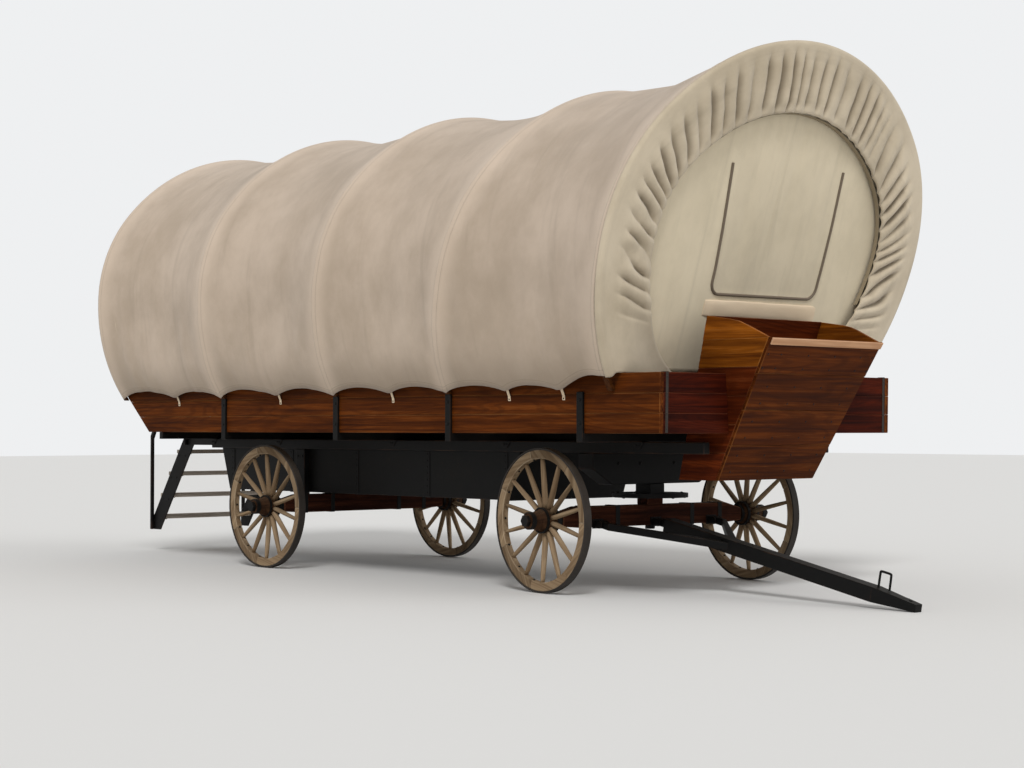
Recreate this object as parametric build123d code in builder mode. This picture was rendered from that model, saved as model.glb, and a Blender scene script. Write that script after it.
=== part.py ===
import os
from math import asin, atan, atan2, cos, degrees, hypot, radians, sin

from build123d import *

# Covered wagon with a canvas cover, lived in, standing on its four wheels and its tongue.
# Millimetres. X is across, +X to the driver's left. Y is along, with the front at -Y. Z is up
# from the ground. The origin is on the ground, under the middle of the outer box.

# Wheels: wooden, dished, with a steel tyre
wheel_r = 508
tyre_w = 60
tyre_t = 12
felloe_w = 52
felloe_depth = 62
spoke_count = 14
spoke_root = (34, 50)  # across the wheel's turn, along the axle
spoke_tip = (26, 36)
spoke_cut = 6
dish = 30
hub_r = 90
hub_half = 130
hub_inner_r = 64
hub_nose_r = 62
band_w = 34
band_t = 6
seat_lip = 8
seat_step = 10
fit = 0.15
arm_r = 30
pin_gap = 0.05
hub_play = 5
nut_r = 44
nut_t = 28
wheelbase = 3440
track = 2000

# Body
body_w = 2410
board_t = 38
floor_over_wheel = 104  # the floor's underside above the wheels
side_h = 400
body_front = 1240  # bottom front corner, ahead of the front axle
body_rear = 4950  # bottom rear corner, behind the front axle
front_lean = 8  # how far each end leans out over the height of the sides
rear_lean = 460
stake_w = 60
stake_t = 20
stake_places = (-520, 850, 2200, 3750)  # behind the front axle
landing_w = 1000
landing_past = 500  # behind the bottom rear corner

# Frame and belly
rail_w = 60
rail_h = 80
rail_out = 660
rail_front_in = 110  # the rails end this far inside the floor's corners
rail_rear_in = 170
sill_w = 50
sill_h = 60
rear_sill_in = 200
belly_front = 750
belly_rear_in = 250
belly_over_beam = 18
belly_slope = 120

# Axles, bolsters and turntable
beam_h = 150
beam_y = 120
beam_over_axle = 90
beam_end_h = 96
beam_shoulder = 160
collar_r = 52
collar_t = 5
bolster_y = 150
bolster_over_circle = 100
bolster_foot = 460
circle_out = 280
circle_in = 225
circle_t = 16
circle_lap = 10
circle_over_beam = 52
circle_gap = 0.3
block = 150
king_r = 22
king_nut_r = 38
king_nut_t = 24
king_play = 5

# Cover
ring_bulge = 430  # the front ring at its widest, beyond the sides of the body
ring_wide_up = 1290  # heights of the cover are above the floor's underside
ring_top_up = 2645
hoop_bulge = 345  # the same for the bows behind it
hoop_wide_up = 1190
hoop_top_up = 2530
cover_base_out = 35
cover_base_up = 280
shoulder_r = 1150
canvas_t = 10
seam = 0.3
bow_t = 22
bow_w = 45
crown_places = (130, 1800, 3450)  # tops of the leaning bows, behind the front axle
foot_places = stake_places[1:]  # their feet, over the stakes
flare_from = 80  # behind the front edge, where the ring's arch begins to ease to the bows'
flare_to = 1640
bonnet_front_in = 65  # where the front edge crosses the widest level, behind the body's front corner
bonnet_rake = 0.323  # forward for each unit of height
bonnet_rear_past = 305  # behind the body's rear corner
rear_rake = 0.0846
ring_t = 12
ring_depth = 469
curtain_recess = 60
rear_curtain_past = 110
rear_curtain_up = 155

# Door
door_open_half = 430
door_open_up = 1930  # above the floor's underside
post_w = 70
post_t = 70
door_lap = 25
door_t = 38
door_gap = 6
door_floor_gap = 7
batten_w = 110
batten_t = 22
hinge_pin_r = 8
hinge_eye_r = 17
hinge_eye_h = 60
hinge_out = 22
hinge_ear_r = 15
hinge_ear_t = 8
hinge_play = 0.3
hinge_heights = (300, 1600)  # above the floor
pull_height = 950
pull_in = 60  # from the free edge
pull_h = 160
pull_t = 20
pull_out = 32

# Front box
box_drop = 320  # heights of the box are from the floor's underside
box_front_up = 630
box_knee_up = 750
box_top_up = 790
box_top_half = 590
box_bottom_half = 500
box_front_in = 126  # its lower front edge, behind the body's front corner
box_front_out = 423  # its upper front edge, ahead of it
box_knee_out = 140
box_back = -97  # its back stands this far ahead of the front bonnet
box_board = 25
notch_play = 4

# Steps
step_rise = 205
step_run = 140
step_count = 4
tread_d = 220
tread_t = 35
stringer_t = 12
stringer_h = 120
stringer_below = 138  # under the top of the last tread
hand_tube = 30
hand_h = 880

# Tongue and its brackets
steer_rest = 5  # degrees, towards the driver's right
pins_under_axle = 38
tongue_pin_y = 120
tongue_length = 2470
pole = 100
tip_half_w = 30
tip_half_h = 25
tip_taper = 360
hound_place = 550
hound_w = 50
hound_h = 50
hound_meet = 720
neck = 84  # the hounds and the pole narrow to their eyes over this length
eye_r = 28
eye_w = 40
eye_play = 6
ear_below = 20
tongue_pin_r = 12
ear_t = 12
hitch_r = 13
hitch_in = 70
loop_in = 300
loop_w = 110
loop_h = 115
loop_t = 16

# Where things come from the sizes above: heights
axle_z = wheel_r
beam_top = axle_z + beam_over_axle
beam_bottom = beam_top - beam_h
circle_z = beam_top + circle_over_beam
bolster_z = circle_z + bolster_over_circle
belly_z = beam_top + belly_over_beam
tongue_pin_z = axle_z - pins_under_axle
floor_z = 2 * wheel_r + floor_over_wheel
ring_wide_z = floor_z + ring_wide_up
ring_top_z = floor_z + ring_top_up
hoop_top_z = floor_z + hoop_top_up
cover_base_z = floor_z + cover_base_up
rear_curtain_base = floor_z + rear_curtain_up
door_open_top = floor_z + door_open_up
box_bottom_z = floor_z - box_drop
box_front_top_z = floor_z + box_front_up
box_knee_z = floor_z + box_knee_up
box_top_z = floor_z + box_top_up

# Lengths, ahead of or behind the front axle
rail_front = body_front - rail_front_in
rail_rear = body_rear - rail_rear_in
rear_sill = body_rear - rear_sill_in
belly_rear = body_rear - belly_rear_in
landing_end = body_rear + landing_past
bonnet_front = body_front - bonnet_front_in
bonnet_rear = body_rear + bonnet_rear_past
rear_curtain_y = body_rear + rear_curtain_past
box_front_bottom = body_front - box_front_in
box_front_top = body_front + box_front_out

# Widths
half_body = body_w / 2
cover_base_half = half_body + cover_base_out
inside = half_body - board_t
deck_z = floor_z + board_t
side_z = floor_z + side_h
sill_z = floor_z - sill_h
rail_z = sill_z - rail_h
stringer_foot_z = deck_z - step_rise * step_count - stringer_below
box_slope = (box_top_half - box_bottom_half) / (box_front_up + box_drop)

# The tongue drops from its pins until the lower edge of its tip is on the ground
drop = asin(tongue_pin_z / hypot(tongue_length, tip_half_h)) - atan(tip_half_h / tongue_length)
steer = radians(steer_rest)
tip_ahead = tongue_pin_y + tongue_length * cos(drop) + tip_half_h * sin(drop)
front_reach = tip_ahead * cos(steer) + tip_half_w * sin(steer)
foot_y = landing_end + step_run * step_count
rear_reach = foot_y + hand_tube / 2
axle_y = (front_reach - rear_reach) / 2


def arcs(bulge, wide_up, top_up):
    """Sizes of a cover's arcs: crown, shoulders and flanks meet without a corner."""
    shoulder_x = half_body + bulge - shoulder_r
    rise = top_up - wide_up
    crown_r = (shoulder_x**2 + rise**2 - shoulder_r**2) / (2 * (rise - shoulder_r))
    crown_z = floor_z + top_up - crown_r
    wide_z = floor_z + wide_up
    crown_angle = degrees(atan2(wide_z - crown_z, shoulder_x))
    flank_in = half_body + bulge - cover_base_half
    flank_drop = wide_z - cover_base_z
    flank_r = (flank_in**2 + flank_drop**2) / (2 * flank_in)
    flank_x = half_body + bulge - flank_r
    return wide_z, shoulder_x, crown_r, crown_z, crown_angle, flank_r, flank_x


ring_arcs = arcs(ring_bulge, ring_wide_up, ring_top_up)
hoop_arcs = arcs(hoop_bulge, hoop_wide_up, hoop_top_up)


def across(y):
    """Upright plane across the wagon: sketch X is X, sketch Y is height, extrude runs forward."""
    return Plane(origin=(0, axle_y + y, 0), x_dir=(1, 0, 0), z_dir=(0, -1, 0))


def along(x):
    """Upright plane along the wagon: sketch X is Y behind the front axle, extrude runs to +X."""
    return Plane(origin=(x, axle_y, 0), x_dir=(0, 1, 0), z_dir=(1, 0, 0))


def level(z):
    """Level plane: sketch Y is Y behind the front axle, extrude runs up."""
    return Plane(origin=(0, axle_y, z))


def rect(x_low, x_high, y_low, y_high, mode=Mode.ADD):
    """Rectangle between two corners of the sketch."""
    with Locations(((x_low + x_high) / 2, (y_low + y_high) / 2)):
        Rectangle(x_high - x_low, y_high - y_low, mode=mode)


def arch(shape, inset, base_z, mode=Mode.ADD):
    """Face under one of the cover's arches, drawn in by inset and cut off level at base_z."""
    wide_z, shoulder_x, crown_r, crown_z, crown_angle, flank_r, flank_x = shape
    foot = degrees(asin((wide_z - base_z) / (flank_r - inset)))
    foot_x = flank_x + (flank_r - inset) * cos(radians(foot))
    with BuildLine() as outline:
        CenterArc((flank_x, wide_z), flank_r - inset, -foot, foot)
        CenterArc((shoulder_x, wide_z), shoulder_r - inset, 0, crown_angle)
        CenterArc((0, crown_z), crown_r - inset, crown_angle, 180 - 2 * crown_angle)
        CenterArc((-shoulder_x, wide_z), shoulder_r - inset, 180 - crown_angle, crown_angle)
        CenterArc((-flank_x, wide_z), flank_r - inset, 180, foot)
        Line((-foot_x, base_z), (foot_x, base_z))
    make_face(outline.edges(), mode=mode)


def front_face(back):
    """Leaning plane of the front bonnet, moved back; its positive side is behind it."""
    return Plane(
        origin=(0, axle_y - bonnet_front + back, ring_wide_z),
        x_dir=(1, 0, 0),
        z_dir=(0, 1, bonnet_rake),
    )


def rear_face(ahead):
    """Leaning plane of the rear bonnet, moved ahead; its positive side is behind it."""
    return Plane(
        origin=(0, axle_y + bonnet_rear - ahead, ring_wide_z),
        x_dir=(1, 0, 0),
        z_dir=(0, 1, rear_rake),
    )


def front_y(back, z):
    """Y behind the front axle of front_face(back) at height z."""
    return back - bonnet_front - bonnet_rake * (z - ring_wide_z)


def rear_y(ahead, z):
    """Y behind the front axle of rear_face(ahead) at height z."""
    return bonnet_rear - ahead - rear_rake * (z - ring_wide_z)


def box_half(z):
    """Half the width of the front box, over its side boards, at height z."""
    return box_bottom_half + box_slope * (z - box_bottom_z)


def box_width(half_in, mode=Mode.ADD):
    """Front view of the box, drawn in by half_in each side."""
    low = box_half(box_bottom_z - board_t) - half_in
    high = box_half(box_top_z + board_t) - half_in
    with BuildLine() as outline:
        Polyline(
            (-low, box_bottom_z - board_t),
            (low, box_bottom_z - board_t),
            (high, box_top_z + board_t),
            (-high, box_top_z + board_t),
            close=True,
        )
    make_face(outline.edges(), mode=mode)


def save(solid, name):
    """Labels one piece and writes its file."""
    solid.label = name
    export_step(solid, f"parts/{name}.step")


os.makedirs("parts", exist_ok=True)

# Wheel, drawn about X at the origin with its outer side towards +X
tyre_in = wheel_r - tyre_t
felloe_in = tyre_in - felloe_depth
with BuildPart() as tyre:
    with BuildSketch(Plane.XZ):
        rect(-tyre_w / 2, tyre_w / 2, tyre_in, wheel_r)
    revolve(axis=Axis.X)

# One spoke, standing up: its outline along the axle leans out by the dish, the other is upright
root_z = hub_r + fit
tip_z = felloe_in - 2 * fit
with BuildPart() as spoke:
    with BuildSketch(Plane.XZ):
        with BuildLine():
            Polyline(
                (-dish - spoke_root[1] / 2, root_z),
                (-dish + spoke_root[1] / 2, root_z),
                (spoke_tip[1] / 2, tip_z),
                (-spoke_tip[1] / 2, tip_z),
                close=True,
            )
        make_face()
    extrude(amount=spoke_root[0], both=True)
    with BuildSketch(Plane.YZ):
        with BuildLine():
            Polyline(
                (-spoke_root[0] / 2, root_z),
                (spoke_root[0] / 2, root_z),
                (spoke_tip[0] / 2, tip_z),
                (-spoke_tip[0] / 2, tip_z),
                close=True,
            )
        make_face()
    extrude(amount=dish + spoke_root[1], both=True, mode=Mode.INTERSECT)
    ends = spoke.faces().sort_by(Axis.Z)
    chamfer(spoke.edges() - ends[0].edges() - ends[-1].edges(), spoke_cut)

# Hub, spokes and felloe ring: the hub is a turned barrel with a band on its nose and a seat for
# the spokes
seat_half = spoke_root[1] / 2 + seat_lip
with BuildPart() as wheel:
    with BuildSketch(Plane.XZ):
        rect(-felloe_w / 2, felloe_w / 2, felloe_in, tyre_in - fit)
    revolve(axis=Axis.X)
    with BuildSketch(Plane.XZ):
        with BuildLine():
            Polyline(
                (-hub_half, arm_r + pin_gap),
                (-hub_half, hub_inner_r),
                (-dish - seat_half, hub_r),
                (-dish + seat_half, hub_r),
                (-dish + seat_half, hub_r - seat_step),
                (hub_half - band_w, hub_nose_r - band_t),
                (hub_half - band_w, hub_nose_r),
                (hub_half, hub_nose_r),
                (hub_half, arm_r + pin_gap),
                close=True,
            )
        make_face()
    revolve(axis=Axis.X)
    for turn in range(spoke_count):
        add(spoke.part.rotate(Axis.X, 180 + 360 * turn / spoke_count))

gear = Plane(origin=(0, axle_y, 0), x_dir=(cos(steer), -sin(steer), 0), z_dir=(0, 0, 1))
rear_gear = Plane(origin=(0, axle_y + wheelbase, 0))
for name, plane, hand in (
    ("front_left", gear, 1),
    ("front_right", gear, -1),
    ("rear_left", rear_gear, 1),
    ("rear_right", rear_gear, -1),
):
    centre = plane.from_local_coords((hand * track / 2, 0, axle_z))
    place = Plane(origin=centre, x_dir=plane.x_dir * hand, z_dir=(0, 0, 1)).location
    save(tyre.part.moved(place), f"{name}_tyre")
    save(wheel.part.moved(place), f"{name}_wheel")

# Axle, drawn about its own middle: a timber beam with steel arms, collars and nuts
arm_in = track / 2 - hub_half - hub_play
arm_out = track / 2 + hub_half + hub_play
with BuildPart() as axle:
    with BuildSketch(Plane.XZ):
        with BuildLine():
            Polyline(
                (0, beam_bottom),
                (arm_in - beam_shoulder, beam_bottom),
                (arm_in - collar_t, axle_z - beam_end_h / 2),
                (arm_in - collar_t, axle_z + beam_end_h / 2),
                (arm_in - beam_shoulder, beam_top),
                (0, beam_top),
                close=True,
            )
        make_face()
        mirror(about=Plane.YZ)
    extrude(amount=beam_y / 2, both=True)
    with BuildSketch(Plane.YZ.offset(arm_in - collar_t)):
        with Locations((0, axle_z)):
            Circle(collar_r)
    extrude(amount=collar_t)
    with BuildSketch(Plane.YZ.offset(arm_in)):
        with Locations((0, axle_z)):
            Circle(arm_r)
    extrude(amount=arm_out - arm_in)
    with BuildSketch(Plane.YZ.offset(arm_out)):
        with Locations((0, axle_z)):
            RegularPolygon(nut_r, 6)
    extrude(amount=nut_t)
    mirror(about=Plane.YZ)
save(axle.part.moved(rear_gear.location), "rear_axle")

# Front axle: the same, with the hole for the king pin and a block under the turntable
with BuildPart() as front_axle:
    add(axle.part)
    with BuildSketch(Plane.XY.offset(beam_top)):
        Rectangle(block, beam_y)
    extrude(amount=circle_z - beam_top)
    with BuildSketch(Plane.XY.offset(beam_bottom)):
        Circle(king_r + pin_gap)
    extrude(amount=circle_z - beam_bottom, mode=Mode.SUBTRACT)
save(front_axle.part.moved(gear.location), "front_axle")

# Turntable: two flat circles, each with a cross bar; the upper one carries the king pin
with BuildPart() as lower_turntable:
    with BuildSketch(Plane.XY.offset(circle_z)):
        Circle(circle_out)
        Circle(circle_in, mode=Mode.SUBTRACT)
        Rectangle(2 * (circle_in + circle_lap), block / 2)
        Rectangle(block, block)
        Circle(king_r + pin_gap, mode=Mode.SUBTRACT)
    extrude(amount=circle_t)
save(lower_turntable.part.moved(gear.location), "lower_turntable")

upper_z = circle_z + circle_t + circle_gap
king_end = beam_bottom - king_play
with BuildPart() as upper_turntable:
    with BuildSketch(level(upper_z)):
        Circle(circle_out)
        Circle(circle_in, mode=Mode.SUBTRACT)
        Rectangle(2 * (circle_in + circle_lap), block / 2)
    extrude(amount=circle_t)
    with BuildSketch(level(upper_z)):
        Rectangle(block, block)
    extrude(amount=bolster_z - upper_z)
    with BuildSketch(level(king_end)):
        Circle(king_r)
    extrude(amount=upper_z - king_end)
    with BuildSketch(level(king_end - king_nut_t)):
        RegularPolygon(king_nut_r, 6)
    extrude(amount=king_nut_t)
save(upper_turntable.part, "upper_turntable")

# Front bolster: a beam across, cut up at its ends, under the rails
with BuildPart() as front_bolster:
    with BuildSketch(across(0)):
        with BuildLine():
            Polyline(
                (-bolster_foot, bolster_z),
                (bolster_foot, bolster_z),
                (rail_out, (bolster_z + rail_z) / 2),
                (rail_out, rail_z),
                (-rail_out, rail_z),
                (-rail_out, (bolster_z + rail_z) / 2),
                close=True,
            )
        make_face()
    extrude(amount=bolster_y / 2, both=True)
save(front_bolster.part, "front_bolster")

# Rear bolster: a post each side of the belly, from the rear axle up to the rails
with BuildPart() as rear_bolster:
    with BuildSketch(level(beam_top)):
        for hand in (-1, 1):
            with Locations((hand * (rail_out - rail_w / 2), wheelbase)):
                Rectangle(rail_w, beam_y)
    extrude(amount=rail_z - beam_top)
save(rear_bolster.part, "rear_bolster")

# Frame: two rails under the cross sills
with BuildPart() as frame_rails:
    with BuildSketch(level(rail_z)):
        for hand in (-1, 1):
            with Locations((hand * (rail_out - rail_w / 2), (rail_rear - rail_front) / 2)):
                Rectangle(rail_w, rail_rear + rail_front)
    extrude(amount=rail_h)
save(frame_rails.part, "frame_rails")

with BuildPart() as cross_sills:
    with BuildSketch(level(sill_z)):
        for y in (*stake_places, rear_sill):
            with Locations((0, y)):
                Rectangle(body_w, sill_w)
    extrude(amount=sill_h)
save(cross_sills.part, "cross_sills")

# Belly: a closed box between the rails, sloped up at both ends
with BuildPart() as belly_box:
    with BuildSketch(along(0)):
        with BuildLine():
            Polyline(
                (belly_front, sill_z),
                (belly_front, sill_z - rail_h),
                (belly_front + belly_slope, belly_z),
                (belly_rear - belly_slope, belly_z),
                (belly_rear, sill_z - rail_h),
                (belly_rear, sill_z),
                close=True,
            )
        make_face()
    extrude(amount=rail_out - rail_w, both=True)
save(belly_box.part, "belly_box")

# The ends of the body lean out, so a board across has this width along Y
front_board = board_t * hypot(1, front_lean / side_h)
rear_board = board_t * hypot(1, rear_lean / side_h)
notch_half = box_half(deck_z) + notch_play
notch_y = front_y(box_back, floor_z) + notch_play

# Deck: planks, notched for the front box, with a landing through the rear doorway
with BuildPart() as deck:
    with BuildSketch(level(floor_z)):
        rect(-inside, inside, front_board - body_front, body_rear - rear_board)
        rect(-landing_w / 2, landing_w / 2, body_rear - 2 * rear_board, landing_end)
        rect(-notch_half, notch_half, -body_front, notch_y, mode=Mode.SUBTRACT)
    extrude(amount=board_t)
save(deck.part, "deck")

# Side boards, with leaning ends
for name, x in (("left_side_board", inside), ("right_side_board", -half_body)):
    with BuildPart() as side_board:
        with BuildSketch(along(x)):
            with BuildLine():
                Polyline(
                    (-body_front, floor_z),
                    (body_rear, floor_z),
                    (body_rear + rear_lean, side_z),
                    (-body_front - front_lean, side_z),
                    close=True,
                )
            make_face()
        extrude(amount=board_t)
    save(side_board.part, name)

# Stakes outside the side boards, from the ends of the cross sills up to the feet of the bows
for name, x in (("left_stakes", half_body), ("right_stakes", -half_body - stake_t)):
    with BuildPart() as stakes:
        with BuildSketch(along(x)):
            for y in stake_places:
                rect(y - stake_w / 2, y + stake_w / 2, sill_z, cover_base_z - seam)
        extrude(amount=stake_t)
    save(stakes.part, name)

# End boards, left and right of the front box and of the doorway
with BuildPart() as front_end_boards:
    with BuildSketch(along(0)):
        with BuildLine():
            Polyline(
                (-body_front, floor_z),
                (front_board - body_front, floor_z),
                (front_board - body_front - front_lean, side_z),
                (-body_front - front_lean, side_z),
                close=True,
            )
        make_face()
    extrude(amount=inside, both=True)
    with BuildSketch(across(-body_front)):
        with BuildLine():
            Polyline(
                (-box_half(floor_z) - seam, floor_z),
                (box_half(floor_z) + seam, floor_z),
                (box_half(side_z) + seam, side_z),
                (-box_half(side_z) - seam, side_z),
                close=True,
            )
        make_face()
    extrude(amount=2 * front_board, both=True, mode=Mode.SUBTRACT)
save(front_end_boards.part, "front_end_boards")

with BuildPart() as rear_end_boards:
    with BuildSketch(along(0)):
        with BuildLine():
            Polyline(
                (body_rear, floor_z),
                (body_rear - rear_board, floor_z),
                (body_rear - rear_board + rear_lean, side_z),
                (body_rear + rear_lean, side_z),
                close=True,
            )
        make_face()
    extrude(amount=inside, both=True)
    with BuildSketch(level(floor_z)):
        rect(-landing_w / 2 - seam, landing_w / 2 + seam, belly_rear, 2 * body_rear)
    extrude(amount=side_h, mode=Mode.SUBTRACT)
save(rear_end_boards.part, "rear_end_boards")

# Front bulkhead: boards across the body under the front curtain, leaning with it
with BuildPart() as front_bulkhead:
    with BuildSketch(along(0)):
        with BuildLine():
            Polyline(
                (front_y(curtain_recess, deck_z), deck_z),
                (front_y(curtain_recess + board_t, deck_z), deck_z),
                (front_y(curtain_recess + board_t, side_z), side_z),
                (front_y(curtain_recess, side_z), side_z),
                close=True,
            )
        make_face()
    extrude(amount=inside, both=True)
save(front_bulkhead.part, "front_bulkhead")

# Canopy: the canvas over the bows, cut along the leaning front and rear faces. The front ring
# stands higher and wider than the bows, and the canvas eases from one arch to the other.
cover_front = bonnet_front + bonnet_rake * (ring_top_z - ring_wide_z) + bow_w
cover_rear = rear_y(0, cover_base_z) + bow_w


def skin(shape):
    """The canvas along the whole wagon with one arch."""
    with BuildPart() as whole:
        with BuildSketch(across(cover_rear)):
            arch(shape, 0, cover_base_z)
            arch(shape, canvas_t, cover_base_z, mode=Mode.SUBTRACT)
        extrude(amount=cover_rear + cover_front)
    return whole.part


def arch_points(shape, inset):
    """Corners (X, Z) of short straight lengths along one half of an arch, from its foot up."""
    wide_z, shoulder_x, crown_r, crown_z, crown_angle, flank_r, flank_x = shape
    foot = asin((wide_z - cover_base_z) / (flank_r - inset))
    turn = radians(crown_angle)
    points = []
    for centre, radius, start, end, steps in (
        ((flank_x, wide_z), flank_r, -foot, 0, 5),
        ((shoulder_x, wide_z), shoulder_r, 0, turn, 5),
        ((0, crown_z), crown_r, turn, radians(90), 6),
    ):
        for step in range(steps):
            angle = start + (end - start) * step / steps
            radial = radius - inset
            points.append((centre[0] + radial * cos(angle), centre[1] + radial * sin(angle)))
    points.append((0, crown_z + crown_r - inset))
    return points


def flare_end(shape, back):
    """Corners of the canvas on front_face(back), all round in short straight lengths."""
    loop = []
    for inset, way in ((0, 1), (canvas_t, -1)):
        half = arch_points(shape, inset)
        whole = half + [(-x, z) for x, z in half[-2::-1]]
        loop += whole[::way]
    return [(x, axle_y + front_y(back, z), z) for x, z in loop]


def between(front, back):
    """Solid between two such rings of corners, its sides laid in flat triangles."""
    faces = [Face(Wire.make_polygon(front)), Face(Wire.make_polygon(back))]
    for i in range(len(front)):
        faces.append(Face(Wire.make_polygon((front[i - 1], front[i], back[i]))))
        faces.append(Face(Wire.make_polygon((front[i - 1], back[i], back[i - 1]))))
    return Solid(Shell(faces))


from_front = split(skin(ring_arcs), bisect_by=front_face(0), keep=Keep.TOP)
over_ring = split(from_front, bisect_by=front_face(flare_from), keep=Keep.BOTTOM)
behind_flare = split(skin(hoop_arcs), bisect_by=front_face(flare_to), keep=Keep.TOP)
over_hoops = split(behind_flare, bisect_by=rear_face(0), keep=Keep.BOTTOM)
flare = between(flare_end(ring_arcs, flare_from), flare_end(hoop_arcs, flare_to))
with BuildPart() as canopy:
    add(over_ring)
    add(flare)
    add(over_hoops)
save(canopy.part, "canopy")

# Bows: bent strips under the canvas. They lean, and their feet stand on the stakes.
bow_edge = canvas_t + seam


def strip(shape, crown_lines):
    """Bows of one arch, each between two lines given as (Y at the foot, Y at the top) pairs."""
    with BuildPart() as whole:
        with BuildSketch(across(cover_rear)):
            arch(shape, bow_edge, cover_base_z)
            arch(shape, bow_edge + bow_t, cover_base_z, mode=Mode.SUBTRACT)
            rect(-half_body, half_body, cover_base_z, side_z, mode=Mode.SUBTRACT)
        extrude(amount=cover_rear + cover_front)
        with BuildSketch(along(0)):
            for foot_y, top_y in crown_lines:
                with BuildLine():
                    Polyline(
                        (foot_y - bow_w / 2, cover_base_z),
                        (foot_y + bow_w / 2, cover_base_z),
                        (top_y + bow_w / 2, ring_top_z),
                        (top_y - bow_w / 2, ring_top_z),
                        close=True,
                    )
                make_face()
        extrude(amount=body_w, both=True, mode=Mode.INTERSECT)
    return whole.part


bow_lines = []
for crown, foot in zip(crown_places, foot_places):
    rake = (foot - crown) / (hoop_top_z - cover_base_z)
    bow_lines.append((foot, foot - rake * (ring_top_z - cover_base_z)))
save(strip(hoop_arcs, bow_lines), "bows")

# End bows: they lean with the front and the rear of the cover
half_way = ring_t + bow_w / 2
front_line = (front_y(half_way, cover_base_z), front_y(half_way, ring_top_z))
rear_line = (rear_y(half_way, cover_base_z), rear_y(half_way, ring_top_z))
with BuildPart() as end_bows:
    add(strip(ring_arcs, [front_line]))
    add(strip(hoop_arcs, [rear_line]))
save(end_bows.part, "end_bows")

# Front bonnet: the gathered ring of canvas, with its drawn opening behind the front box
with BuildPart() as front_bonnet:
    with BuildSketch(across(cover_rear)):
        arch(ring_arcs, bow_edge, side_z + seam)
        arch(ring_arcs, ring_depth, side_z + seam, mode=Mode.SUBTRACT)
    extrude(amount=cover_rear + cover_front)
    split(bisect_by=front_face(0), keep=Keep.TOP)
    split(bisect_by=front_face(ring_t), keep=Keep.BOTTOM)
save(front_bonnet.part, "front_bonnet")

# Front curtain: the canvas behind the opening, down to the bulkhead
with BuildPart() as front_curtain:
    with BuildSketch(across(cover_rear)):
        arch(ring_arcs, bow_edge, side_z + seam)
    extrude(amount=cover_rear + cover_front)
    split(bisect_by=front_face(curtain_recess), keep=Keep.TOP)
    split(bisect_by=front_face(curtain_recess + canvas_t), keep=Keep.BOTTOM)
save(front_curtain.part, "front_curtain")

# Rear bonnet: like the front one
with BuildPart() as rear_bonnet:
    with BuildSketch(across(cover_rear)):
        arch(hoop_arcs, bow_edge, side_z + seam)
        arch(hoop_arcs, ring_depth, side_z + seam, mode=Mode.SUBTRACT)
    extrude(amount=cover_rear)
    split(bisect_by=rear_face(0), keep=Keep.BOTTOM)
    split(bisect_by=rear_face(ring_t), keep=Keep.TOP)
save(rear_bonnet.part, "rear_bonnet")

# Rear curtain: upright canvas round the doorway, its skirt inside the rear end boards
with BuildPart() as rear_curtain:
    with BuildSketch(across(rear_curtain_y)):
        arch(hoop_arcs, bow_edge, side_z + seam)
        rect(-inside + seam, inside - seam, rear_curtain_base, side_z + 2 * board_t)
        rect(-door_open_half, door_open_half, rear_curtain_base, door_open_top, mode=Mode.SUBTRACT)
    extrude(amount=canvas_t)
save(rear_curtain.part, "rear_curtain")

# Door frame on the landing, against the curtain, with the ears and pins of the hinges
frame_y = rear_curtain_y - canvas_t
frame_in = frame_y - post_t
leaf_half = door_open_half + door_lap
leaf_y = frame_in - door_gap
hinge_x = -leaf_half - hinge_out
hinge_y = leaf_y - door_t / 2
with BuildPart() as door_frame:
    with BuildSketch(across(frame_y)):
        rect(-door_open_half - post_w, door_open_half + post_w, deck_z, door_open_top + post_w)
        rect(-door_open_half, door_open_half, deck_z, door_open_top, mode=Mode.SUBTRACT)
    extrude(amount=post_t)
    for height in hinge_heights:
        ear_z = deck_z + height - hinge_eye_h / 2 - hinge_ear_t - hinge_play
        with BuildSketch(level(ear_z)):
            with Locations((hinge_x, hinge_y)):
                Circle(hinge_ear_r)
            rect(hinge_x - hinge_ear_r, hinge_x + hinge_ear_r, hinge_y, frame_in)
        extrude(amount=hinge_ear_t)
        with BuildSketch(level(ear_z)):
            with Locations((hinge_x, hinge_y)):
                Circle(hinge_pin_r)
        extrude(amount=hinge_ear_t + hinge_play + hinge_eye_h)
save(door_frame.part, "door_frame")

# Rear door: a plank leaf inside the frame, with battens, the eyes of its hinges and a pull on
# each side
leaf_z = deck_z + door_floor_gap
leaf_top = door_open_top + door_lap
with BuildPart() as rear_door:
    with BuildSketch(across(leaf_y)):
        rect(-leaf_half, leaf_half, leaf_z, leaf_top)
    extrude(amount=door_t)
    with BuildSketch(across(leaf_y - door_t)):
        for height in hinge_heights:
            middle = deck_z + height
            rect(-leaf_half, leaf_half - batten_w / 2, middle - batten_w / 2, middle + batten_w / 2)
    extrude(amount=batten_t)
    for height in hinge_heights:
        with BuildSketch(level(deck_z + height - hinge_eye_h / 2)):
            with Locations((hinge_x, hinge_y)):
                Circle(hinge_eye_r)
            rect(hinge_x, -leaf_half + hinge_out, hinge_y - hinge_ear_t / 2, hinge_y + hinge_ear_t / 2)
            with Locations((hinge_x, hinge_y)):
                Circle(hinge_pin_r + pin_gap, mode=Mode.SUBTRACT)
        extrude(amount=hinge_eye_h)
    pull_low = deck_z + pull_height - pull_h / 2
    with BuildSketch(along(door_open_half - pull_in)):
        rect(leaf_y - door_t - pull_out, leaf_y + pull_out, pull_low, pull_low + pull_h)
        rect(
            leaf_y - door_t - pull_out + pull_t,
            leaf_y + pull_out - pull_t,
            pull_low + pull_t,
            pull_low + pull_h - pull_t,
            mode=Mode.SUBTRACT,
        )
    extrude(amount=pull_t)
save(rear_door.part, "rear_door")

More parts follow.
